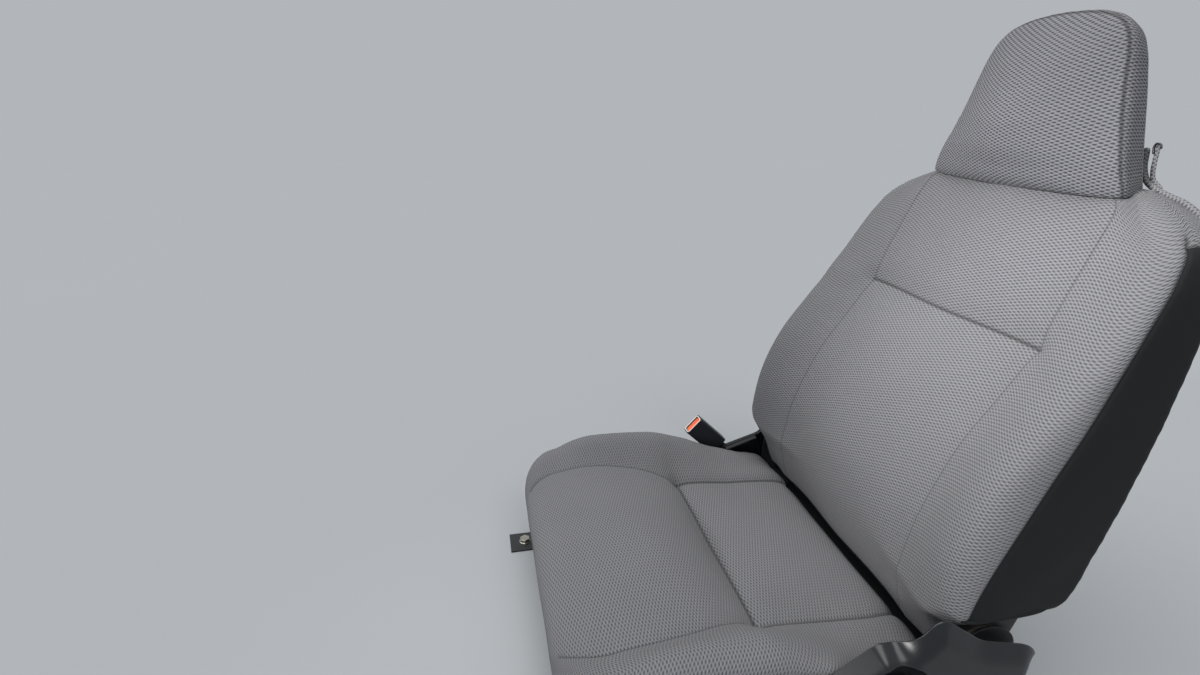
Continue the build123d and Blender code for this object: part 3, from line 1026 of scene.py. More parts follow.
@dataclass
class BackrestCover(PaddedCover):
    """Cover of the backrest: woven front and bolsters, black side bands and rear.

    Args:
        palette: the finishes.
        sections: z, half width, fabric edge y, bolster crest y, seam y, middle y, rear y,
            seam x and crest x, with y behind the bite line.
        legs: the outline from the front's middle to the seam, the bolster's crest, the fabric's
            edge, the rear corner's two ends and the rear's middle.
        cell: size of the cover's facets before it is rounded.
        cross_seam_z: height of the pulled-in seam across the back.
        band_low: height where the side bands start.
        band_top: height where they end, under the shoulder.
        corner: radius of the rear corners in plan.
        shade_tail_top: height up to which the cover hanging behind the cushion gets the near-black
            painted shade of the bite.
        most: the furthest that the padding swells.
        fill: how full the padding is; not used.
    """

    palette: Palette
    sections: tuple = (
        (0.088, 0.210, 0.016, 0.014, 0.014, 0.014, 0.026, 0.150, 0.186),
        (0.098, 0.214, 0.011, 0.007, 0.007, 0.007, 0.026, 0.150, 0.190),
        (0.122, 0.220, 0.003, -0.006, -0.004, -0.004, 0.026, 0.150, 0.200),
        (0.150, 0.223, -0.004, -0.018, -0.011, -0.011, 0.030, 0.150, 0.206),
        (0.168, 0.230, -0.007, -0.029, -0.015, -0.015, 0.050, 0.150, 0.212),
        (0.177, 0.250, -0.009, -0.031, -0.014, -0.016, 0.106, 0.151, 0.222),
        (0.190, 0.257, -0.008, -0.031, -0.012, -0.015, 0.117, 0.151, 0.226),
        (0.240, 0.2575, 0.006, -0.026, -0.003, -0.008, 0.134, 0.151, 0.228),
        (0.290, 0.256, 0.028, -0.012, 0.015, 0.010, 0.150, 0.151, 0.229),
        (0.335, 0.253, 0.051, 0.008, 0.036, 0.031, 0.164, 0.151, 0.228),
        (0.385, 0.250, 0.078, 0.042, 0.070, 0.065, 0.179, 0.151, 0.226),
        (0.437, 0.245, 0.105, 0.080, 0.103, 0.100, 0.193, 0.150, 0.222),
        (0.485, 0.240, 0.129, 0.109, 0.122, 0.117, 0.205, 0.149, 0.216),
        (0.530, 0.233, 0.153, 0.135, 0.141, 0.135, 0.216, 0.148, 0.207),
        (0.556, 0.223, 0.168, 0.151, 0.152, 0.146, 0.222, 0.147, 0.196),
        (0.573, 0.205, 0.181, 0.164, 0.161, 0.154, 0.226, 0.145, 0.176),
        (0.586, 0.180, 0.194, 0.174, 0.167, 0.160, 0.228, 0.142, 0.160),
        (0.595, 0.158, 0.204, 0.184, 0.173, 0.166, 0.228, 0.132, 0.146),
        (0.600, 0.142, 0.212, 0.192, 0.180, 0.173, 0.224, 0.118, 0.132),
    )
    legs: tuple = (
        Leg((1, 0), (1, 0.12), 30), Leg((1, 0.3), (1, 0), 13), Leg((1, 0), (0.12, -1), 11, 1.3),
        Leg((0.1, -1), (-0.05, -1), 20), Leg((0, -1), (-1, 0), 5, 1.25), Leg((-1, 0), (-1, 0), 49),
    )
    cell: float = 5.6 * MM
    cross_seam_z: float = 0.437
    band_low: float = 0.180
    band_top: float = 0.560
    corner: float = 16 * MM
    shade_tail_top: float = 0.101
    most: float = 5 * MM
    fill: float = 0.8

    def build(self) -> None:
        """Make the cover, swell it and sew it."""
        rows = blend_rows(self.sections, (0, 1, 5), self.cell)
        z, half, edge, crest, seam, middle, rear, seam_x, crest_x = rows.T
        none = np.zeros_like(z)
        most_of_depth, drawn_in = 0.45, 1 * MM
        corner = np.minimum(self.corner, most_of_depth * (rear - edge))
        flank = half - drawn_in
        flat = outline([(none, -middle), (seam_x, -seam), (crest_x, -crest), (half, -edge),
                        (flank, -(rear - corner)), (flank - corner, -rear),
                        (none, -rear - 2 * MM)], self.legs)
        up = np.repeat(z[:, None], flat.shape[1], 1)
        rings = np.stack([flat[:, :, 0], DATUM.bite_y - flat[:, :, 1], up], -1)
        rings = closing(rings, axis=1, rise=3 * MM, count=4, at_start=True)
        rings = closing(rings, axis=1, rise=1.5 * MM, count=3, at_start=False)
        self.grid = Grid.mirrored(rings)
        ends = np.cumsum([leg.count for leg in self.legs])
        self.seam, self.edge, self.rear = int(ends[0]), int(ends[2]), int(ends[4]) - 2
        heights = self.grid.rings[:, 0, 2]
        self.low_ring = closest(heights, self.band_low)
        self.top_ring = closest(heights, self.band_top)
        self.cross_ring = closest(heights, self.cross_seam_z)
        side = self.grid.side(True)
        band = (self.edge <= side) & (side < self.rear)
        region = np.full((len(heights) - 1, len(side)), int(Region.FRONT))
        region[self.low_ring:self.top_ring, band] = Region.BAND
        region[:self.low_ring, band] = Region.REAR
        region[:, side >= self.rear] = Region.REAR
        # the lowest rings, behind the cushion, get the painted shade of the bite
        region[heights[:-1] < self.shade_tail_top] = Region.SHADE_TAIL
        finishes = [self.palette.cloth, self.palette.band, self.palette.rear, self.palette.tail]
        self.piece = self.grid.make("backrest_cover", region, finishes)
        self.swell(self.free(start=4, end=14, ring=self.cross_ring, whole=True), self.most)
        self.sew()
        self.finish(Body.BACK, "back_pad")

    def seams(self) -> list:
        """The cover's sewn lines.

        Returns:
            The seams across the back, down its panels and round the side bands.
        """
        return [
            self.across(self.cross_ring, -self.seam, self.seam, 2.4, 3.0, 4.5, 15),
            *self.down(self.seam, 8, len(self.grid.ids) - 8, 0.7, 1.3, 0.3, 5, 1.4),
            *self.down(self.edge, self.low_ring, self.top_ring + 2, 1.6, 2.6, 0.8, 8),
            *self.down(self.rear, self.low_ring, self.top_ring, 0.8, 1.8, 0.2, 5),
            self.across(self.top_ring, self.edge, self.rear, 1.2, 2.4, 0.4, 6),
            self.across(self.top_ring, -self.rear, -self.edge, 1.2, 2.4, 0.4, 6),
        ]


@dataclass
class HeadrestCover(PaddedCover):
    """Cover of the headrest, which grows out of the backrest's top: face, gusset and black rear.

    Args:
        palette: the finishes.
        arch: from neck to crown, the face's seam x, y and z, the gusset's rear x, y and z, and the
            face's middle y and z, with y behind the bite line.
        cell: size of the cover's facets before it is rounded.
        face: columns from the face's middle to its seam.
        side: columns of the gusset.
        back: columns from the gusset to the rear's middle.
        rear_y: y of the rear's middle.
        steepest: limit of the face's slope at its middle.
        pull: how strongly the face's slopes at its middle and at its seam shape it.
        turn_in: how far the face turns forward before its seam.
        bulge: how far the gusset stands proud.
        bulge_shape: how early and how bluntly it does.
        rear_shape: how early and how bluntly the rear reaches its depth.
        stretch: how much longer the face's cloth is than its height.
        rear_cloth: length of cloth measured over the rear.
        most: the furthest that the padding swells.
        fill: how full the padding is; not used.
    """

    palette: Palette
    arch: tuple = (
        (0.1425, 0.1750, 0.5905, 0.1265, 0.2165, 0.5915, 0.1630, 0.5915),
        (0.1430, 0.1715, 0.5955, 0.1262, 0.2165, 0.5965, 0.1545, 0.5955),
        (0.1355, 0.1690, 0.6210, 0.1220, 0.2140, 0.6210, 0.1410, 0.6180),
        (0.1235, 0.1725, 0.6520, 0.1160, 0.2135, 0.6515, 0.1340, 0.6400),
        (0.1125, 0.1765, 0.6830, 0.1090, 0.2130, 0.6820, 0.1340, 0.6590),
        (0.1035, 0.1805, 0.7140, 0.1015, 0.2125, 0.7120, 0.1370, 0.6750),
        (0.0965, 0.1840, 0.7390, 0.0950, 0.2120, 0.7360, 0.1400, 0.6860),
        (0.0880, 0.1865, 0.7570, 0.0865, 0.2115, 0.7535, 0.1430, 0.6945),
        (0.0740, 0.1890, 0.7695, 0.0725, 0.2110, 0.7660, 0.1455, 0.7015),
        (0.0530, 0.1910, 0.7770, 0.0520, 0.2105, 0.7740, 0.1475, 0.7065),
        (0.0270, 0.1920, 0.7810, 0.0265, 0.2100, 0.7780, 0.1490, 0.7100),
        (0.0000, 0.1925, 0.7825, 0.0000, 0.2100, 0.7795, 0.1495, 0.7110),
    )
    cell: float = 5.0 * MM
    face: int = 26
    side: int = 8
    back: int = 20
    rear_y: float = 0.2165
    steepest: float = 0.4
    pull: tuple = (0.9, 1.25)
    turn_in: float = 14 * MM
    bulge: float = 2.2 * MM
    bulge_shape: tuple = (1.15, 0.7)
    rear_shape: tuple = (1.6, 0.6)
    stretch: float = 1.05
    rear_cloth: float = 0.09
    most: float = 4 * MM
    fill: float = 0.8

    def half(self) -> tuple:
        """The outboard half of the cover.

        Returns:
            Its points, row by column by xyz, and the cloth's measure at each, row by column by 2.
        """
        rows = blend_rows(self.arch, (0, 2), self.cell)
        rows[-1, [0, 3]] = 0.0
        seam, rear = rows[:, 0:3], rows[:, 3:6]
        middle = np.column_stack([np.zeros(len(rows)), rows[:, 6:8]])
        back_middle = middle.copy()
        back_middle[:, 1] = self.rear_y
        height = np.maximum.accumulate(middle[:, 2] + 1e-6 * np.arange(len(rows)))
        slope = np.gradient(middle[:, 1], height)
        along = np.gradient(seam[:, [0, 2]], axis=0)
        out = np.stack([along[:, 1], -along[:, 0]], -1)
        out /= np.linalg.norm(out, axis=1)[:, None]
        out[0], out[-1] = (1.0, 0.0), (0.0, 1.0)
        rise = seam[:, 2] - middle[:, 2]
        leave = np.clip(slope, -self.steepest, self.steepest) * rise * self.pull[0]
        arrive = self.pull[1] * (seam[:, 1] - middle[:, 1]) + self.turn_in
        columns, measure = [], []
        for t in np.arange(self.face + 1) / self.face:
            flat = middle + (seam - middle) * t
            flat[:, 1] = hermite(t, middle[:, 1], leave, seam[:, 1], arrive)
            columns.append(flat)
            measure.append(np.stack([np.abs(flat[:, 0]), flat[:, 2] * self.stretch], -1))
        edge = measure[-1]
        early, blunt = self.bulge_shape
        for t in np.arange(1, self.side + 1) / self.side:
            flat = seam + (rear - seam) * t
            swing = math.pi * min(1.0, early * t) ** blunt
            flat[:, [0, 2]] += out * (self.bulge * math.sin(swing))
            columns.append(flat)
            measure.append(edge + out * (np.linalg.norm(rear - seam, axis=1) * t)[:, None])
        edge = measure[-1]
        early, blunt = self.rear_shape
        for t in np.arange(1, self.back + 1) / self.back:
            flat = rear + (back_middle - rear) * t
            reached = min(1.0, early * t) ** blunt
            flat[:, 1] = rear[:, 1] + (back_middle[:, 1] - rear[:, 1]) * reached
            columns.append(flat)
            measure.append(edge - out * (self.rear_cloth * t))
        return np.stack(columns, 1), np.stack(measure, 1)

    def build(self) -> None:
        """Make the cover, swell it and sew it."""
        half, measure = self.half()
        half[:, :, 1] += DATUM.bite_y
        rows, columns = half.shape[:2]
        other = half[:-1] * np.array([-1.0, 1.0, 1.0])
        points = np.concatenate([half.reshape(-1, 3), other.reshape(-1, 3)])
        cloth = np.concatenate([measure.reshape(-1, 2), measure[:-1].reshape(-1, 2)])
        ids = np.arange(len(points))
        outboard = ids[:rows * columns].reshape(rows, columns)
        inboard = np.concatenate([ids[rows * columns:].reshape(rows - 1, columns), outboard[-1:]])
        inboard[:, 0], inboard[:, -1] = outboard[:, 0], outboard[:, -1]
        faces = [face for ring in (outboard, inboard, np.stack([outboard[0], inboard[0]]))
                 for face in quads(ring, False)]
        rear = (np.arange(columns - 1) >= self.face + self.side - 1).astype(int).tolist()
        finish = rear * (2 * rows - 2) + [1] * (columns - 1)
        self.piece, number = cover_piece("headrest_cover", points, cloth, faces, finish,
                                         [self.palette.shaded_head_cloth, self.palette.rear])
        self.arches = [[number[int(v)] for v in (*outboard[:, c], *inboard[-2::-1, c])]
                       for c in (self.face, self.face + self.side)]
        held = 5
        from_seam = np.clip(self.face - np.arange(columns), 0, held) / held
        from_neck = np.clip(np.arange(rows)[:, None] - 1, 0, held) / held
        away = from_seam * from_neck
        free = np.zeros(len(number))
        for ring in (outboard, inboard):
            for v, share in zip(ring.ravel().tolist(), away.ravel()):
                free[number[v]] = share
        self.swell(free, self.most)
        self.sew()
        self.finish(Body.BACK, "head_pad")

    def seams(self) -> list:
        """The cover's sewn lines.

        Returns:
            The seam round the face and the gusset's rear seam.
        """
        points, dips = points_of(self.piece), ((0.5 * MM, 6 * MM), (0.4 * MM, 5 * MM))
        return [Seam(points[arch], 0.8 * MM, 1.6 * MM, *dip)
                for arch, dip in zip(self.arches, dips)]


@dataclass
class CushionCover(PaddedCover):
    """Cover of the cushion: sunk insert, raised front roll and side bolsters.

    Args:
        palette: the finishes.
        sections: y in front of the bite line, underside, edge z, bolster crest z, seam z, middle z,
            half width, seam x and crest x.
        legs: the outline from the top's middle to the seam, the bolster's crest, the fabric's
            edge, the lower corner's two ends and the underside's middle.
        nose_length: length of the rounded front.
        nose_middle: height of its foremost line.
        nose_draw: how far the sides draw in at the front.
        nose_travel: length of cloth over it.
        nose_taper: how fast its height closes.
        nose_turn: how fast its sides draw in.
        nose_sides: share of the drawing in for the half width, the seam and the crest.
        corner: radius of the lower edges.
        cell: size of the cover's facets before it is rounded.
        insert_front: place of the insert's front seam.
        tail: length of cover that runs down behind the bite line and gets the near-black painted
            shade of the bite.
        most: the furthest that the padding swells.
        fill: how full the padding is; not used.
    """

    palette: Palette
    sections: tuple = (
        (0.011, 0.066, 0.074, 0.079, 0.079, 0.079, 0.226, 0.140, 0.205),
        (0.001, 0.066, 0.083, 0.087, 0.088, 0.088, 0.234, 0.144, 0.212),
        (-0.010, 0.066, 0.093, 0.096, 0.099, 0.100, 0.240, 0.148, 0.220),
        (-0.050, 0.066, 0.100, 0.107, 0.104, 0.106, 0.247, 0.151, 0.224),
        (-0.100, 0.066, 0.114, 0.123, 0.108, 0.113, 0.250, 0.151, 0.224),
        (-0.143, 0.066, 0.132, 0.143, 0.113, 0.118, 0.250, 0.151, 0.223),
        (-0.170, 0.066, 0.139, 0.156, 0.115, 0.118, 0.250, 0.151, 0.222),
        (-0.187, 0.066, 0.142, 0.163, 0.116, 0.114, 0.250, 0.151, 0.222),
        (-0.208, 0.066, 0.145, 0.169, 0.127, 0.131, 0.250, 0.154, 0.222),
        (-0.235, 0.066, 0.148, 0.172, 0.137, 0.147, 0.250, 0.162, 0.222),
        (-0.270, 0.066, 0.151, 0.174, 0.143, 0.157, 0.250, 0.172, 0.223),
        (-0.310, 0.066, 0.152, 0.173, 0.146, 0.160, 0.250, 0.179, 0.224),
        (-0.345, 0.066, 0.147, 0.166, 0.145, 0.158, 0.249, 0.182, 0.224),
        (-0.372, 0.066, 0.138, 0.155, 0.141, 0.154, 0.246, 0.182, 0.221),
    )
    legs: tuple = (
        Leg((1, 0), (1, -0.05), 32), Leg((0.9, 0.5), (1, -0.05), 13),
        Leg((1, 0), (0.12, -1), 10, 1.25), Leg((0.1, -1), (-0.05, -1), 14),
        Leg((0, -1), (-1, 0), 3, 1.2), Leg((-1, 0), (-1, 0), 52),
    )
    nose_length: float = 0.057
    nose_middle: float = 0.106
    nose_draw: float = 0.075
    nose_travel: float = 0.085
    nose_taper: float = 0.86
    nose_turn: float = 0.9
    nose_sides: tuple = (1.0, 0.55, 0.8)
    corner: float = 9 * MM
    cell: float = 5.6 * MM
    insert_front: float = -0.187
    tail: float = -3 * MM
    most: float = 5 * MM
    fill: float = 0.75

    def nose(self, last: np.ndarray) -> np.ndarray:
        """Sections of the rounded front.

        Args:
            last: the section that it grows from.

        Returns:
            The sections after it.
        """
        steps = int(self.nose_travel / self.cell)
        rows = []
        for i in range(1, steps + 1):
            angle = math.pi / 2 * i / steps
            shrink = math.cos(angle) ** self.nose_taper
            narrow = self.nose_draw * (1 - math.cos(angle)) ** self.nose_turn
            rows.append([last[0] - self.nose_length * math.sin(angle),
                         *(self.nose_middle + (last[1:6] - self.nose_middle) * shrink),
                         *(last[6:] - np.array(self.nose_sides) * narrow)])
        return np.array(rows)

    def build(self) -> None:
        """Make the cover, swell it and sew it."""
        rows = blend_rows(self.sections, (0, 5), self.cell)
        nose = self.nose(rows[-1])
        y, low, edge, crest, seam, middle, half, seam_x, crest_x = np.concatenate([rows, nose]).T
        none = np.zeros_like(y)
        most_of_depth, drawn_in = 0.3, 2 * MM
        corner = np.minimum(self.corner, most_of_depth * (edge - low))
        flank = half - drawn_in
        flat = outline([(none, middle), (seam_x, seam), (crest_x, crest), (half, edge),
                        (flank, low + corner), (flank - corner, low), (none, low)], self.legs)
        along = np.repeat((DATUM.bite_y + y)[:, None], flat.shape[1], 1)
        rings = np.stack([flat[:, :, 0], along, flat[:, :, 1]], -1)
        rings = closing(rings, axis=2, rise=1.0 * MM, count=4, at_start=True)
        self.grid = Grid.mirrored(rings)
        ends = np.cumsum([leg.count for leg in self.legs])
        self.seam, self.edge, self.under = int(ends[0]), int(ends[2]), int(ends[4]) - 1
        stations = self.grid.rings[:, 0, 1] - DATUM.bite_y
        self.front_ring = closest(stations, self.insert_front)
        self.nose_ring = len(stations) - len(nose) - 1
        side = self.grid.side(True)
        region = np.full((len(stations) - 1, len(side)), int(Region.FRONT))
        region[:self.nose_ring, (self.edge <= side) & (side < self.under)] = Region.BAND
        region[:, side >= self.under] = Region.REAR
        # the rings behind the bite line get the painted shade of the bite
        region[stations[:-1] > -self.tail] = Region.SHADE_TAIL
        finishes = [self.palette.cloth, self.palette.band, self.palette.under, self.palette.tail]
        self.piece = self.grid.make("cushion_cover", region, finishes)
        self.swell(self.free(start=8, end=5, ring=self.front_ring, whole=False), self.most)
        self.sew()
        self.finish(Body.BASE, "cushion_pad")

    def seams(self) -> list:
        """The cover's sewn lines.

        Returns:
            The seams of the insert, the front roll and the side bands.
        """
        return [
            self.across(self.front_ring, -self.seam, self.seam, 3.0, 3.0, 3.0, 12),
            *self.down(self.seam, 6, self.front_ring, 2.4, 2.8, 2.0, 10),
            *self.down(self.seam, self.front_ring, len(self.grid.ids) - 6, 1.0, 2.2, 0.8, 8, 1.0),
            *self.down(self.edge, 6, self.nose_ring, 1.4, 2.6, 0.6, 8),
            self.across(self.nose_ring, self.edge, self.under, 1.0, 2.4, 0.3, 6),
            self.across(self.nose_ring, -self.under, -self.edge, 1.0, 2.4, 0.3, 6),
        ]


def tube(name: str, line: object, radius: float, material: bpy.types.Material, sides: int = 12,
         cloth: bool = False) -> bpy.types.Object:
    """A round piece along a smooth line.

    Args:
        name: the piece's name.
        line: its control points.
        radius: of the tube.
        material: its finish.
        sides: facets round it.
        cloth: whether it carries the cloth's measure.

    Returns:
        The object, with rounded ends.
    """
    spacing = max(0.8 * radius, 1.0 * MM)
    rows = blend_rows(line, (0, 1, 2), spacing)
    along = np.gradient(rows, axis=0)
    along /= np.linalg.norm(along, axis=1)[:, None]
    upright, blunt, caps, last = 0.9, 0.04, 4, len(rows) - 1
    side = np.cross(along[0], (0.0, 0.0, 1.0) if abs(along[0][2]) < upright else (0.0, 1.0, 0.0))
    slants = [math.pi / 2 * (caps - i) / caps for i in range(caps)]
    stations = [(0, -slant) for slant in slants] + [(i, 0.0) for i in range(last + 1)]
    stations += [(last, slant) for slant in slants[::-1]]
    turn = math.tau * np.arange(sides) / sides
    rings, measure, travel, before = [], [], 0.0, 0
    for i, slant in stations:
        side = side - along[i] * (side @ along[i])
        side /= np.linalg.norm(side)
        up = np.cross(along[i], side)
        size = radius * max(math.cos(slant), blunt)
        travel += float(np.linalg.norm(rows[i] - rows[before]))
        before = i
        rings.append(rows[i] + along[i] * radius * math.sin(slant)
                     + (np.outer(np.cos(turn), side) + np.outer(np.sin(turn), up)) * size)
        measure.append(np.column_stack([radius * turn, np.full(sides, travel), np.ones(sides)]))
    ids = np.arange(len(rings) * sides).reshape(-1, sides)
    faces = quads(ids) + [ids[0].tolist(), ids[-1].tolist()]
    made = new_piece(name, np.concatenate(rings), faces, [material])
    if cloth:
        measure_cloth(made, np.concatenate(measure))
    return made


def behind_bite(line: tuple) -> np.ndarray:
    """Points whose y counts from the bite line, in the part's own frame."""
    return np.array(line) + np.array([0.0, DATUM.bite_y, 0.0])


@dataclass
class ShoulderWelt:
    """Piped edge that drops beside the headrest and runs along the outboard shoulder.

    Args:
        palette: the finishes.
        radius: of the piping.
        line: x, y behind the bite line, and z.
    """

    palette: Palette
    radius: float = 3.2 * MM
    line: tuple = (
        (0.1165, 0.216, 0.640), (0.1175, 0.217, 0.625), (0.124, 0.218, 0.610),
        (0.136, 0.218, 0.6025), (0.152, 0.218, 0.597), (0.168, 0.218, 0.5925),
        (0.184, 0.218, 0.584), (0.199, 0.217, 0.575), (0.213, 0.215, 0.564),
        (0.222, 0.211, 0.553),
    )

    def build(self) -> None:
        """Make the piping."""
        line = behind_bite(self.line)
        piece = tube("shoulder_welt", line, self.radius, self.palette.cloth, 14, cloth=True)
        declare(piece, Body.BACK)
        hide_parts("shoulder_welt_outboard")


def rounded(corners: tuple) -> np.ndarray:
    """A closed outline with rounded corners.

    Args:
        corners: rows of two coordinates and the corner's radius.

    Returns:
        Its points, closely spaced, with the first one again at the end.
    """
    points = np.array([row[:2] for row in corners])
    path, in_corner, spacing = [], 9, 0.5 * MM
    for i, (here, (_, _, radius)) in enumerate(zip(points, corners)):
        back = points[i - 1] - here
        on = points[(i + 1) % len(points)] - here
        back, on = back / np.linalg.norm(back), on / np.linalg.norm(on)
        half = math.acos(float(np.clip(back @ on, -1, 1))) / 2
        centre = here + (back + on) / np.linalg.norm(back + on) * radius / math.sin(half)
        first = here + back * radius / math.tan(half) - centre
        last = here + on * radius / math.tan(half) - centre
        turn = math.pi - 2 * half
        for w in np.linspace(0, 1, in_corner):
            arc = math.sin((1 - w) * turn) * first + math.sin(w * turn) * last
            path.append(centre + arc / math.sin(turn))
    return dense(np.array(path + path[:1]), spacing)


@dataclass
class OutboardShield:
    """Moulded shell over the recliner, with a sloping top and the round scoop of the lever.

    Args:
        palette: the finishes.
        corners: y behind the bite line, z and the corner's radius.
        scoop: y and z of the scoop's middle.
        scoop_r: its radius.
        scoop_depth: its depth.
        bowl: from the rim inwards, how proud it stands, its share of the depth and how far it is
            from the rim.
        slot: half length and half height of the lever's slot.
        inner_x: the shell's edge beside the cushion.
        clear_x: its edge beside the backrest, which moves.
        clear_y: where the edge starts to run out to that, and over what length.
        clear_z: the same upwards.
        outer_x: its outer face.
        bevel: width of the flat slope along its edge.
        turn: width of the soft ridge between that slope and the outer face.
        wall: its thickness.
        posts: y behind the bite line and z of the screw posts behind it.
        post_x: x along a post.
        post_r: its radius.
        rays: number of points round the scoop.
        steps: number of points from the scoop to the edge.
        crowding: how much closer they are at the edge.
    """

    palette: Palette
    corners: tuple = (
        (-0.226, 0.060, 0.014), (-0.228, 0.088, 0.022), (-0.108, 0.173, 0.022),
        (-0.078, 0.172, 0.026), (-0.046, 0.206, 0.016), (0.006, 0.166, 0.060),
        (0.084, 0.144, 0.034), (0.084, 0.060, 0.022),
    )
    scoop: tuple = (-0.088, 0.118)
    scoop_r: float = 40 * MM
    scoop_depth: float = 11 * MM
    bowl: tuple = (
        (0.55 * MM, 0.0, 0.5 * MM), (0.1 * MM, 0.0, 1.6 * MM), (0.0, 0.22, 2.6 * MM),
        (0.0, 0.55, 5.2 * MM), (0.0, 0.82, 8.6 * MM), (0.0, 0.97, 13 * MM),
    )
    slot: tuple = (22.4 * MM, 10 * MM)
    inner_x: float = 0.2512
    clear_x: float = 0.2625
    clear_y: tuple = (-0.092, 0.030)
    clear_z: tuple = (0.112, 0.024)
    outer_x: float = 0.2718
    bevel: float = 11 * MM
    turn: float = 13 * MM
    wall: float = 2.2 * MM
    posts: tuple = ((0.006, 0.077), (0.064, 0.082))
    post_x: tuple = (0.2425, 0.251, 0.260, 0.2675)
    post_r: float = 4.4 * MM
    rays: int = 208
    steps: int = 30
    crowding: float = 0.8

    def face_x(self, points: np.ndarray, edge: np.ndarray) -> np.ndarray:
        """How far out the shell stands at each place.

        Args:
            points: y and z of each place.
            edge: the shell's outline.

        Returns:
            X of each place.
        """
        away = np.array([np.sqrt(((edge - p) ** 2).sum(1).min()) for p in points])
        past = np.clip(away - self.bevel, 0, self.turn)
        rise = np.minimum(away, self.bevel) + past - past**2 / (2 * self.turn)
        share = rise / (self.bevel + self.turn / 2)
        behind, above = (np.clip((along - start) / length, 0, 1) for along, (start, length)
                         in zip(points.T, (self.clear_y, self.clear_z)))
        near = (behind * above) ** 2 * (3 - 2 * behind * above)
        start = self.inner_x + (self.clear_x - self.inner_x) * near
        return start + (self.outer_x - start) * share

    def slot_reach(self, ray: np.ndarray) -> np.ndarray:
        """How far the lever's slot reaches from the scoop's middle.

        Args:
            ray: directions in y and z.

        Returns:
            The distance to the slot's rim along each.
        """
        long, high = self.slot
        straight = long - high
        across, up = np.abs(ray).T
        flat = np.minimum(high / np.maximum(up, 1e-6), long)
        root = np.sqrt(np.maximum(high**2 - (straight * up) ** 2, 0))
        return np.where(across * flat <= straight, flat, straight * across + root)

    def build(self) -> None:
        """Make the shell and its posts."""
        edge = rounded(self.corners)
        centre = np.array(self.scoop)
        arm = edge - centre
        angle = np.arctan2(arm[:, 1], arm[:, 0])
        order = np.argsort(angle)
        theta = -math.pi + math.tau * np.arange(self.rays) / self.rays
        reach = np.interp(theta, angle[order], np.hypot(*arm.T)[order], period=math.tau)
        ray = np.stack([np.cos(theta), np.sin(theta)], -1)
        rings = []
        for i in range(self.steps + 1):
            share = (i / self.steps) ** self.crowding
            place = centre + ray * (self.scoop_r + (reach - self.scoop_r) * share)[:, None]
            rings.append(np.column_stack([self.face_x(place, edge), place]))
        rim_x, floor_x = rings[0][:, 0], self.outer_x - self.scoop_depth
        for proud, sink, inwards in self.bowl:
            x = rim_x + proud + (floor_x - rim_x) * sink
            rings.insert(0, np.column_stack([x, centre + ray * (self.scoop_r - inwards)]))
        slot = centre + ray * self.slot_reach(ray)[:, None]
        rings.insert(0, np.column_stack([np.full(self.rays, floor_x), slot]))
        points = behind_bite(np.concatenate(rings))
        faces = quads(np.arange(len(points)).reshape(-1, self.rays))
        shell = new_piece("outboard_shield_shell", points, faces, [self.palette.shield],
                          closed=False)
        thicken(shell, self.wall, 1.0 if shell.data.polygons[0].normal.x < 0 else -1.0)
        declare(shell, Body.BASE)
        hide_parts("side_shield_outboard")
        for number, (y, z) in enumerate(self.posts):
            line = behind_bite([(x, y, z) for x in self.post_x])
            post = tube(f"shield_post_{number + 1}", line, self.post_r, self.palette.shield, 16)
            declare(post, Body.BASE)


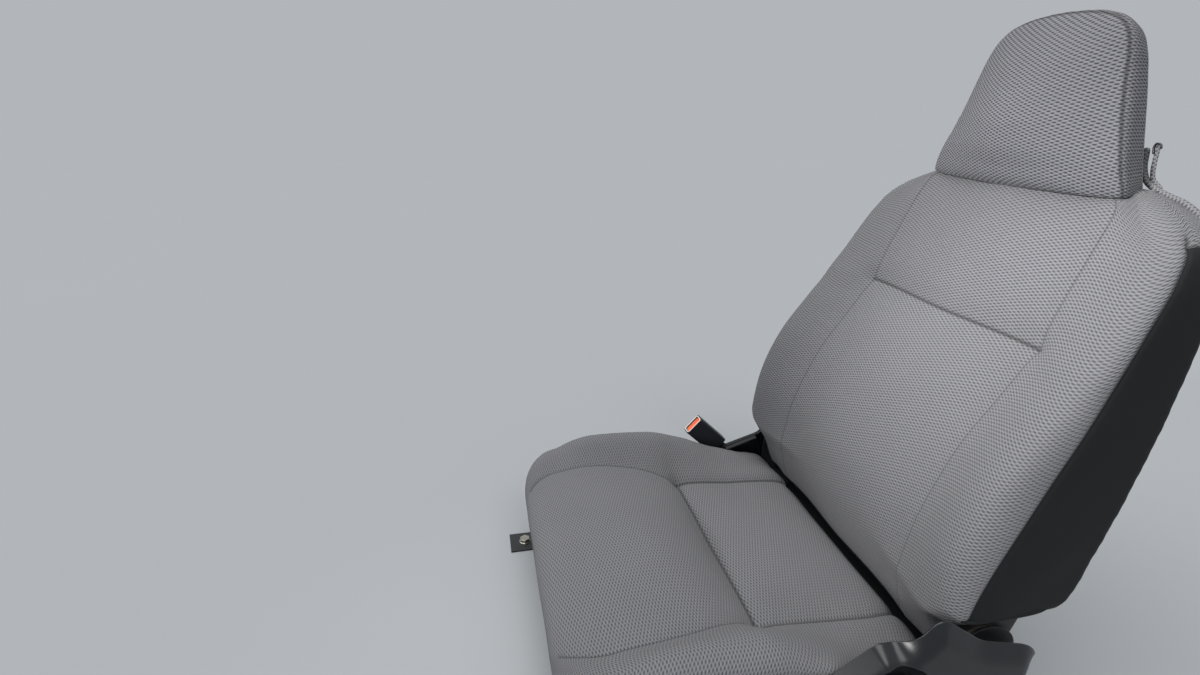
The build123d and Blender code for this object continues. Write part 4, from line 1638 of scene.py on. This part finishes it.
@dataclass
class Trim:
    """Small pieces: the bands' hems, the tab behind the welt, its hook and the buckle's rim.

    Args:
        palette: the finishes.
        hem: half width, y behind the bite line and z along a band's lower edge.
        hem_r: radius of the hem's roll.
        tab: x, y and z down the cloth tab.
        tab_r: half its width.
        tab_flat: its thickness as a share of its width.
        hook: x, y and z along the small hook at its top.
        hook_r: radius of the hook's wire.
        rim: middle of the buckle's end face.
        rim_lean: the buckle's lean from the horizontal, in degrees.
        rim_size: half width, half length and corner radius of the pale rim on it.
        rim_r: radius of the rim's bead.
        rim_proud: how far it stands out.
    """

    palette: Palette
    hem: tuple = (
        (0.2530, -0.013, 0.1860), (0.2552, -0.004, 0.1845), (0.2556, 0.020, 0.1835),
        (0.2556, 0.050, 0.1835), (0.2550, 0.076, 0.1845), (0.2525, 0.092, 0.1870),
    )
    hem_r: float = 2.3 * MM
    tab: tuple = (
        (0.1255, 0.2185, 0.6440), (0.1262, 0.2195, 0.6250), (0.1300, 0.2200, 0.6110),
        (0.1385, 0.2205, 0.6045),
    )
    tab_r: float = 2.6 * MM
    tab_flat: float = 0.45
    hook: tuple = (
        (0.1235, 0.2170, 0.6380), (0.1225, 0.2170, 0.6440), (0.1245, 0.2170, 0.6475),
        (0.1285, 0.2170, 0.6470), (0.1300, 0.2170, 0.6435),
    )
    hook_r: float = 1.1 * MM
    rim: tuple = (-0.2700, 0.01946, 0.1524)
    rim_lean: float = 43.8
    rim_size: tuple = (8.2 * MM, 15.6 * MM, 3.2 * MM)
    rim_r: float = 0.9 * MM
    rim_proud: float = 0.3 * MM

    def buckle_rim(self) -> None:
        """Make the pale rim round the buckle's button."""
        across, along, corner = self.rim_size
        flat = rounded([(x * across, y * along, corner) for x, y in SQUARE])
        lean = math.radians(self.rim_lean)
        out = np.array([0.0, -math.cos(lean), math.sin(lean)])
        up = np.array([0.0, math.sin(lean), math.cos(lean)])
        face = np.array(self.rim) + self.rim_proud * out
        loop = face + flat[:, :1] * np.array([1.0, 0, 0]) + flat[:, 1:] * up
        declare(tube("buckle_rim", loop, self.rim_r, self.palette.rim, 10), Body.BASE)

    def build(self) -> None:
        """Make the pieces."""
        self.buckle_rim()
        for name, sign in (("outboard", 1.0), ("inboard", -1.0)):
            line = behind_bite(self.hem) * np.array([sign, 1.0, 1.0])
            hem = tube(f"band_hem_{name}", line, self.hem_r, self.palette.band)
            declare(hem, Body.BACK)
        line = behind_bite(self.tab)
        tab = tube("welt_tab", line, self.tab_r, self.palette.cloth, cloth=True)
        points = points_of(tab)
        points[:, 1] = line[0][1] + (points[:, 1] - line[0][1]) * self.tab_flat
        set_points(tab, points)
        hook = tube("welt_hook", behind_bite(self.hook), self.hook_r, self.palette.buckle, 10)
        for piece in (tab, hook):
            declare(piece, Body.BACK)


@dataclass
class RearFlap:
    """Felt flap behind the cushion, which closes the view under the backrest; its near-black finish
    is painted shade of the bite.

    Args:
        palette: the finishes.
        half: half its width.
        profile: y behind the bite line and z along its middle.
        wall: its thickness.
        cell: spacing of its points along the profile.
        ripple: height of its slight waves.
        waves: radians a metre of their two sets across the flap.
        shift: radians that the first set moves over, from front to rear.
        start: share of their height at the front.
        columns: number of points across it.
    """

    palette: Palette
    half: float = 0.186
    profile: tuple = (
        (-0.010, 0.0745), (0.004, 0.0725), (0.022, 0.0695), (0.045, 0.0680), (0.066, 0.0665),
        (0.074, 0.0610), (0.075, 0.0540),
    )
    wall: float = 1.6 * MM
    cell: float = 3 * MM
    ripple: float = 0.7 * MM
    waves: tuple = (61.0, 23.0)
    shift: float = 2.1
    start: float = 0.3
    columns: int = 94

    def build(self) -> None:
        """Make the flap."""
        line = blend_rows(self.profile, (0, 1), self.cell)
        x = np.linspace(-self.half, self.half, self.columns)
        rows = []
        for free, (y, z) in zip(np.linspace(0, 1, len(line)), line):
            wave = np.sin(x * self.waves[0] + self.shift * free) * np.cos(x * self.waves[1])
            wave *= self.ripple * (self.start + (1 - self.start) * free)
            rows.append(np.column_stack([x, np.full(self.columns, y), z - self.wall + wave]))
        points = behind_bite(np.concatenate(rows))
        faces = quads(np.arange(len(points)).reshape(-1, self.columns), False)
        piece = new_piece("rear_flap", points, faces, [self.palette.tail], closed=False)
        thicken(piece, self.wall, 0.0)
        declare(piece, Body.BASE)


@dataclass
class FloorBolts:
    """Flanged hexagon bolts that hold the feet to the floor.

    Args:
        palette: the finishes.
        x: distance of the bolts from the middle plane.
        y: distance of the bolts from the middle, front and rear.
        seat_z: top of the foot's plate.
        across: width of the head across its flats.
        height: of flange and head.
        sides: points round a bolt.
    """

    palette: Palette
    x: float = 0.200
    y: float = 0.289
    seat_z: float = 3 * MM
    across: float = 15 * MM
    height: float = 6.5 * MM
    sides: int = 48

    def build(self) -> None:
        """Make the four bolts, each a flange and a chamfered hexagon."""
        flange, corner = 0.62 * self.across, self.across / math.sqrt(3)
        neck, crown, middle = corner * 0.98, corner * 0.88, corner * 0.5
        plate = ((flange, 0.0), (flange, 1.0 * MM), (neck, 1.8 * MM))
        head = ((corner, 2.0 * MM), (corner, self.height - 1.0 * MM), (crown, self.height),
                (middle, self.height))
        turn = math.tau * np.arange(self.sides) / self.sides
        hexagon = math.cos(math.pi / 6) / np.cos(turn % (math.pi / 3) - math.pi / 6)
        rings = []
        for profile, shape in ((plate, np.ones(self.sides)), (head, hexagon)):
            rings += [np.column_stack([r * shape * np.cos(turn), r * shape * np.sin(turn),
                                       np.full(self.sides, self.seat_z + z)]) for r, z in profile]
        ids = np.arange(len(rings) * self.sides).reshape(-1, self.sides)
        faces = quads(ids) + [ids[0].tolist(), ids[-1].tolist()]
        for name, way in (("front_outboard", (1, -1)), ("front_inboard", (-1, -1)),
                          ("rear_outboard", (1, 1)), ("rear_inboard", (-1, 1))):
            place = np.array([way[0] * self.x, way[1] * self.y, 0.0])
            piece = new_piece(f"floor_bolt_{name}", np.concatenate(rings) + place, faces,
                              [self.palette.bolt], smooth=False)
            declare(piece, Body.RAILS)


class Finisher:
    """Finishes of the pieces that the construction itself shows."""

    WELD = 0.01 * MM
    SEGMENTS = 3
    SHARP = 28.0
    EDGE = 0.4 * MM
    EDGES = {"side_shield": 1.6 * MM, "buckle_body": 2.6 * MM, "buckle_button": 1.2 * MM,
             "recliner_lever": 1.8 * MM, "slide_latch": 1.0 * MM}

    def __init__(self, palette: Palette) -> None:
        """Pair each kind of piece with its finish.

        Args:
            palette: the finishes.
        """
        self.finishes = {
            palette.rail: ("lower_rail", "upper_rail"),
            palette.paint: ("foot", "slide_latch", "recliner_bracket", "seat_pan",
                            "rear_cross_tube", "back_arm", "backrest_tube"),
            palette.bolt: ("buckle_anchor", "recliner_rod", "recliner_disc"),
            palette.bar: ("slide_bar",), palette.spring: ("cushion_springs",),
            palette.shield: ("side_shield",), palette.lever: ("recliner_lever",),
            palette.buckle: ("buckle_strap", "buckle_body"), palette.button: ("buckle_button",),
        }

    def build(self) -> None:
        """Give every shown node its finish and softly rounded edges."""
        for name, node in frame["nodes"].items():
            for material, kinds in self.finishes.items():
                kind = next((start for start in kinds if name.startswith(start)), None)
                if kind:
                    node.data.materials.clear()
                    node.data.materials.append(material)
                    self.soften(node, self.EDGES.get(kind, self.EDGE))
        LOG.info("finished %d pieces of the construction", len(frame["nodes"]))

    def soften(self, node: bpy.types.Object, width: float) -> None:
        """Round a node's edges with modifiers, which leave its mesh as it is.

        Args:
            node: the construction's own piece.
            width: of the rounding.
        """
        weld = node.modifiers.new("weld", "WELD")
        weld.merge_threshold = self.WELD
        bevel = node.modifiers.new("soft_edges", "BEVEL")
        bevel.width, bevel.segments = width, self.SEGMENTS
        bevel.limit_method, bevel.angle_limit = "ANGLE", math.radians(self.SHARP)
        bevel.use_clamp_overlap = bevel.harden_normals = True


@dataclass
class Studio:
    """Pale floor, soft light and the camera.

    Args:
        eye: the camera's place.
        azimuth: direction of view about the upright axis, in degrees.
        pitch: how far it looks down, in degrees.
        lens: focal length in millimetres.
        sensor: width of the sensor in millimetres.
        clip: nearest and furthest that the camera sees.
        tint: colour of the lights.
        sky: colour of the surroundings.
        surroundings: their brightness.
        reach: half the width of the floor.
        suns: direction towards each broad soft light, its strength and how wide it looks in
            degrees.
        panels: place of each soft panel, what it points at, its size, its spread in degrees and
            its watts.
    """

    eye: tuple = (0.6876, -0.3378, 0.6889)
    azimuth: float = 78.79
    pitch: float = 20.3
    lens: float = 19.2
    sensor: float = 36.0
    clip: tuple = (0.01, 200.0)
    tint: tuple = (1.0, 0.985, 0.965)
    sky: tuple = (0.945, 0.995, 1.045)
    surroundings: float = 0.47
    reach: float = 60.0
    suns: tuple = (
        ("overhead_light", (0.0, -0.25, 1.0), 2.45, 60.0),
        ("door_light", (0.62, 0.16, 0.77), 0.8, 28.0),
    )
    panels: tuple = (
        ("front_panel", (0.3, -1.6, 1.2), (0.10, 0.25, 0.55), 0.3, 25.0, 1.6),
        ("low_panel", (-0.2, -1.6, 0.9), (0.0, -0.26, 0.13), 0.4, 20.0, 0.16),
        ("door_panel", (1.23, -0.72, 0.62), (0.265, 0.10, 0.17), 0.5, 20.0, 0.28),
    )

    @staticmethod
    def hang(name: str, data: object, place: tuple, way: tuple,
             axis: str = "Z") -> bpy.types.Object:
        """Put a light or the camera in its place.

        Args:
            name: its name.
            data: the light or camera.
            place: where it stands.
            way: direction that its axis takes.
            axis: which of its axes that is.

        Returns:
            The object.
        """
        made = bpy.data.objects.new(name, data)
        bpy.context.scene.collection.objects.link(made)
        made.location = place
        made.rotation_mode = "QUATERNION"
        made.rotation_quaternion = Vector(way).to_track_quat(axis, "Y")
        made.visible_camera = False
        return made

    def camera(self) -> None:
        """Set up the camera."""
        data = bpy.data.cameras.new("camera")
        data.lens, data.sensor_width = self.lens, self.sensor
        data.clip_start, data.clip_end = self.clip
        turn, down = math.radians(self.azimuth), math.radians(self.pitch)
        view = (-math.sin(turn) * math.cos(down), math.cos(turn) * math.cos(down), -math.sin(down))
        bpy.context.scene.camera = self.hang("camera", data, self.eye, view, "-Z")

    def floor(self) -> None:
        """Lay the floor, as bright as its surroundings, so that no edge of it shows."""
        g = Graph("pale_floor")
        light = sum(power * way[2] / math.hypot(*way) for _, way, power, _ in self.suns) / math.pi
        glow = [self.surroundings * share for share in self.sky]
        colour = (*(own / (own + light * tint) for own, tint in zip(glow, self.tint)), 1)
        shade = g.scaled(colour, g.line(g.noise(1.3), 0.02, 0.99))
        material = g.shade(Base_Color=shade, Roughness=0.9, Specular_IOR_Level=0.0)
        corners = [(x * self.reach, y * self.reach, 0) for x, y in SQUARE]
        new_piece("floor", corners, [(0, 1, 2, 3)], [material], False, False)

    def build(self) -> None:
        """Set up floor, light, surroundings and camera."""
        self.camera()
        self.floor()
        for name, way, power, softness in self.suns:
            data = bpy.data.lights.new(name, "SUN")
            data.energy, data.angle, data.color = power, math.radians(softness), self.tint
            self.hang(name, data, (0, 0, 0), way)
        for name, place, aim, size, spread, power in self.panels:
            data = bpy.data.lights.new(name, "AREA")
            data.shape, data.size, data.energy, data.color = "DISK", size, power, self.tint
            data.spread = math.radians(spread)
            self.hang(name, data, place, Vector(place) - Vector(aim))
        world = bpy.data.worlds.new("surroundings")
        world.use_nodes = True
        background = world.node_tree.nodes["Background"].inputs
        background["Color"].default_value = (*self.sky, 1)
        background["Strength"].default_value = self.surroundings
        bpy.context.scene.world = world
        bpy.context.scene.view_settings.view_transform = "Standard"
        LOG.info("studio ready")


def main() -> None:
    """Build the seat's looks piece by piece."""
    logging.basicConfig(level=logging.INFO, format="%(name)s: %(message)s")
    palette = Palette()
    Studio().build()
    Finisher(palette).build()
    for kind in (BackrestCover, HeadrestCover, CushionCover, ShoulderWelt, Trim, RearFlap,
                 OutboardShield, FloorBolts):
        kind(palette).build()
        LOG.info("built %s", kind.__name__)


if __name__ == "__main__":
    main()
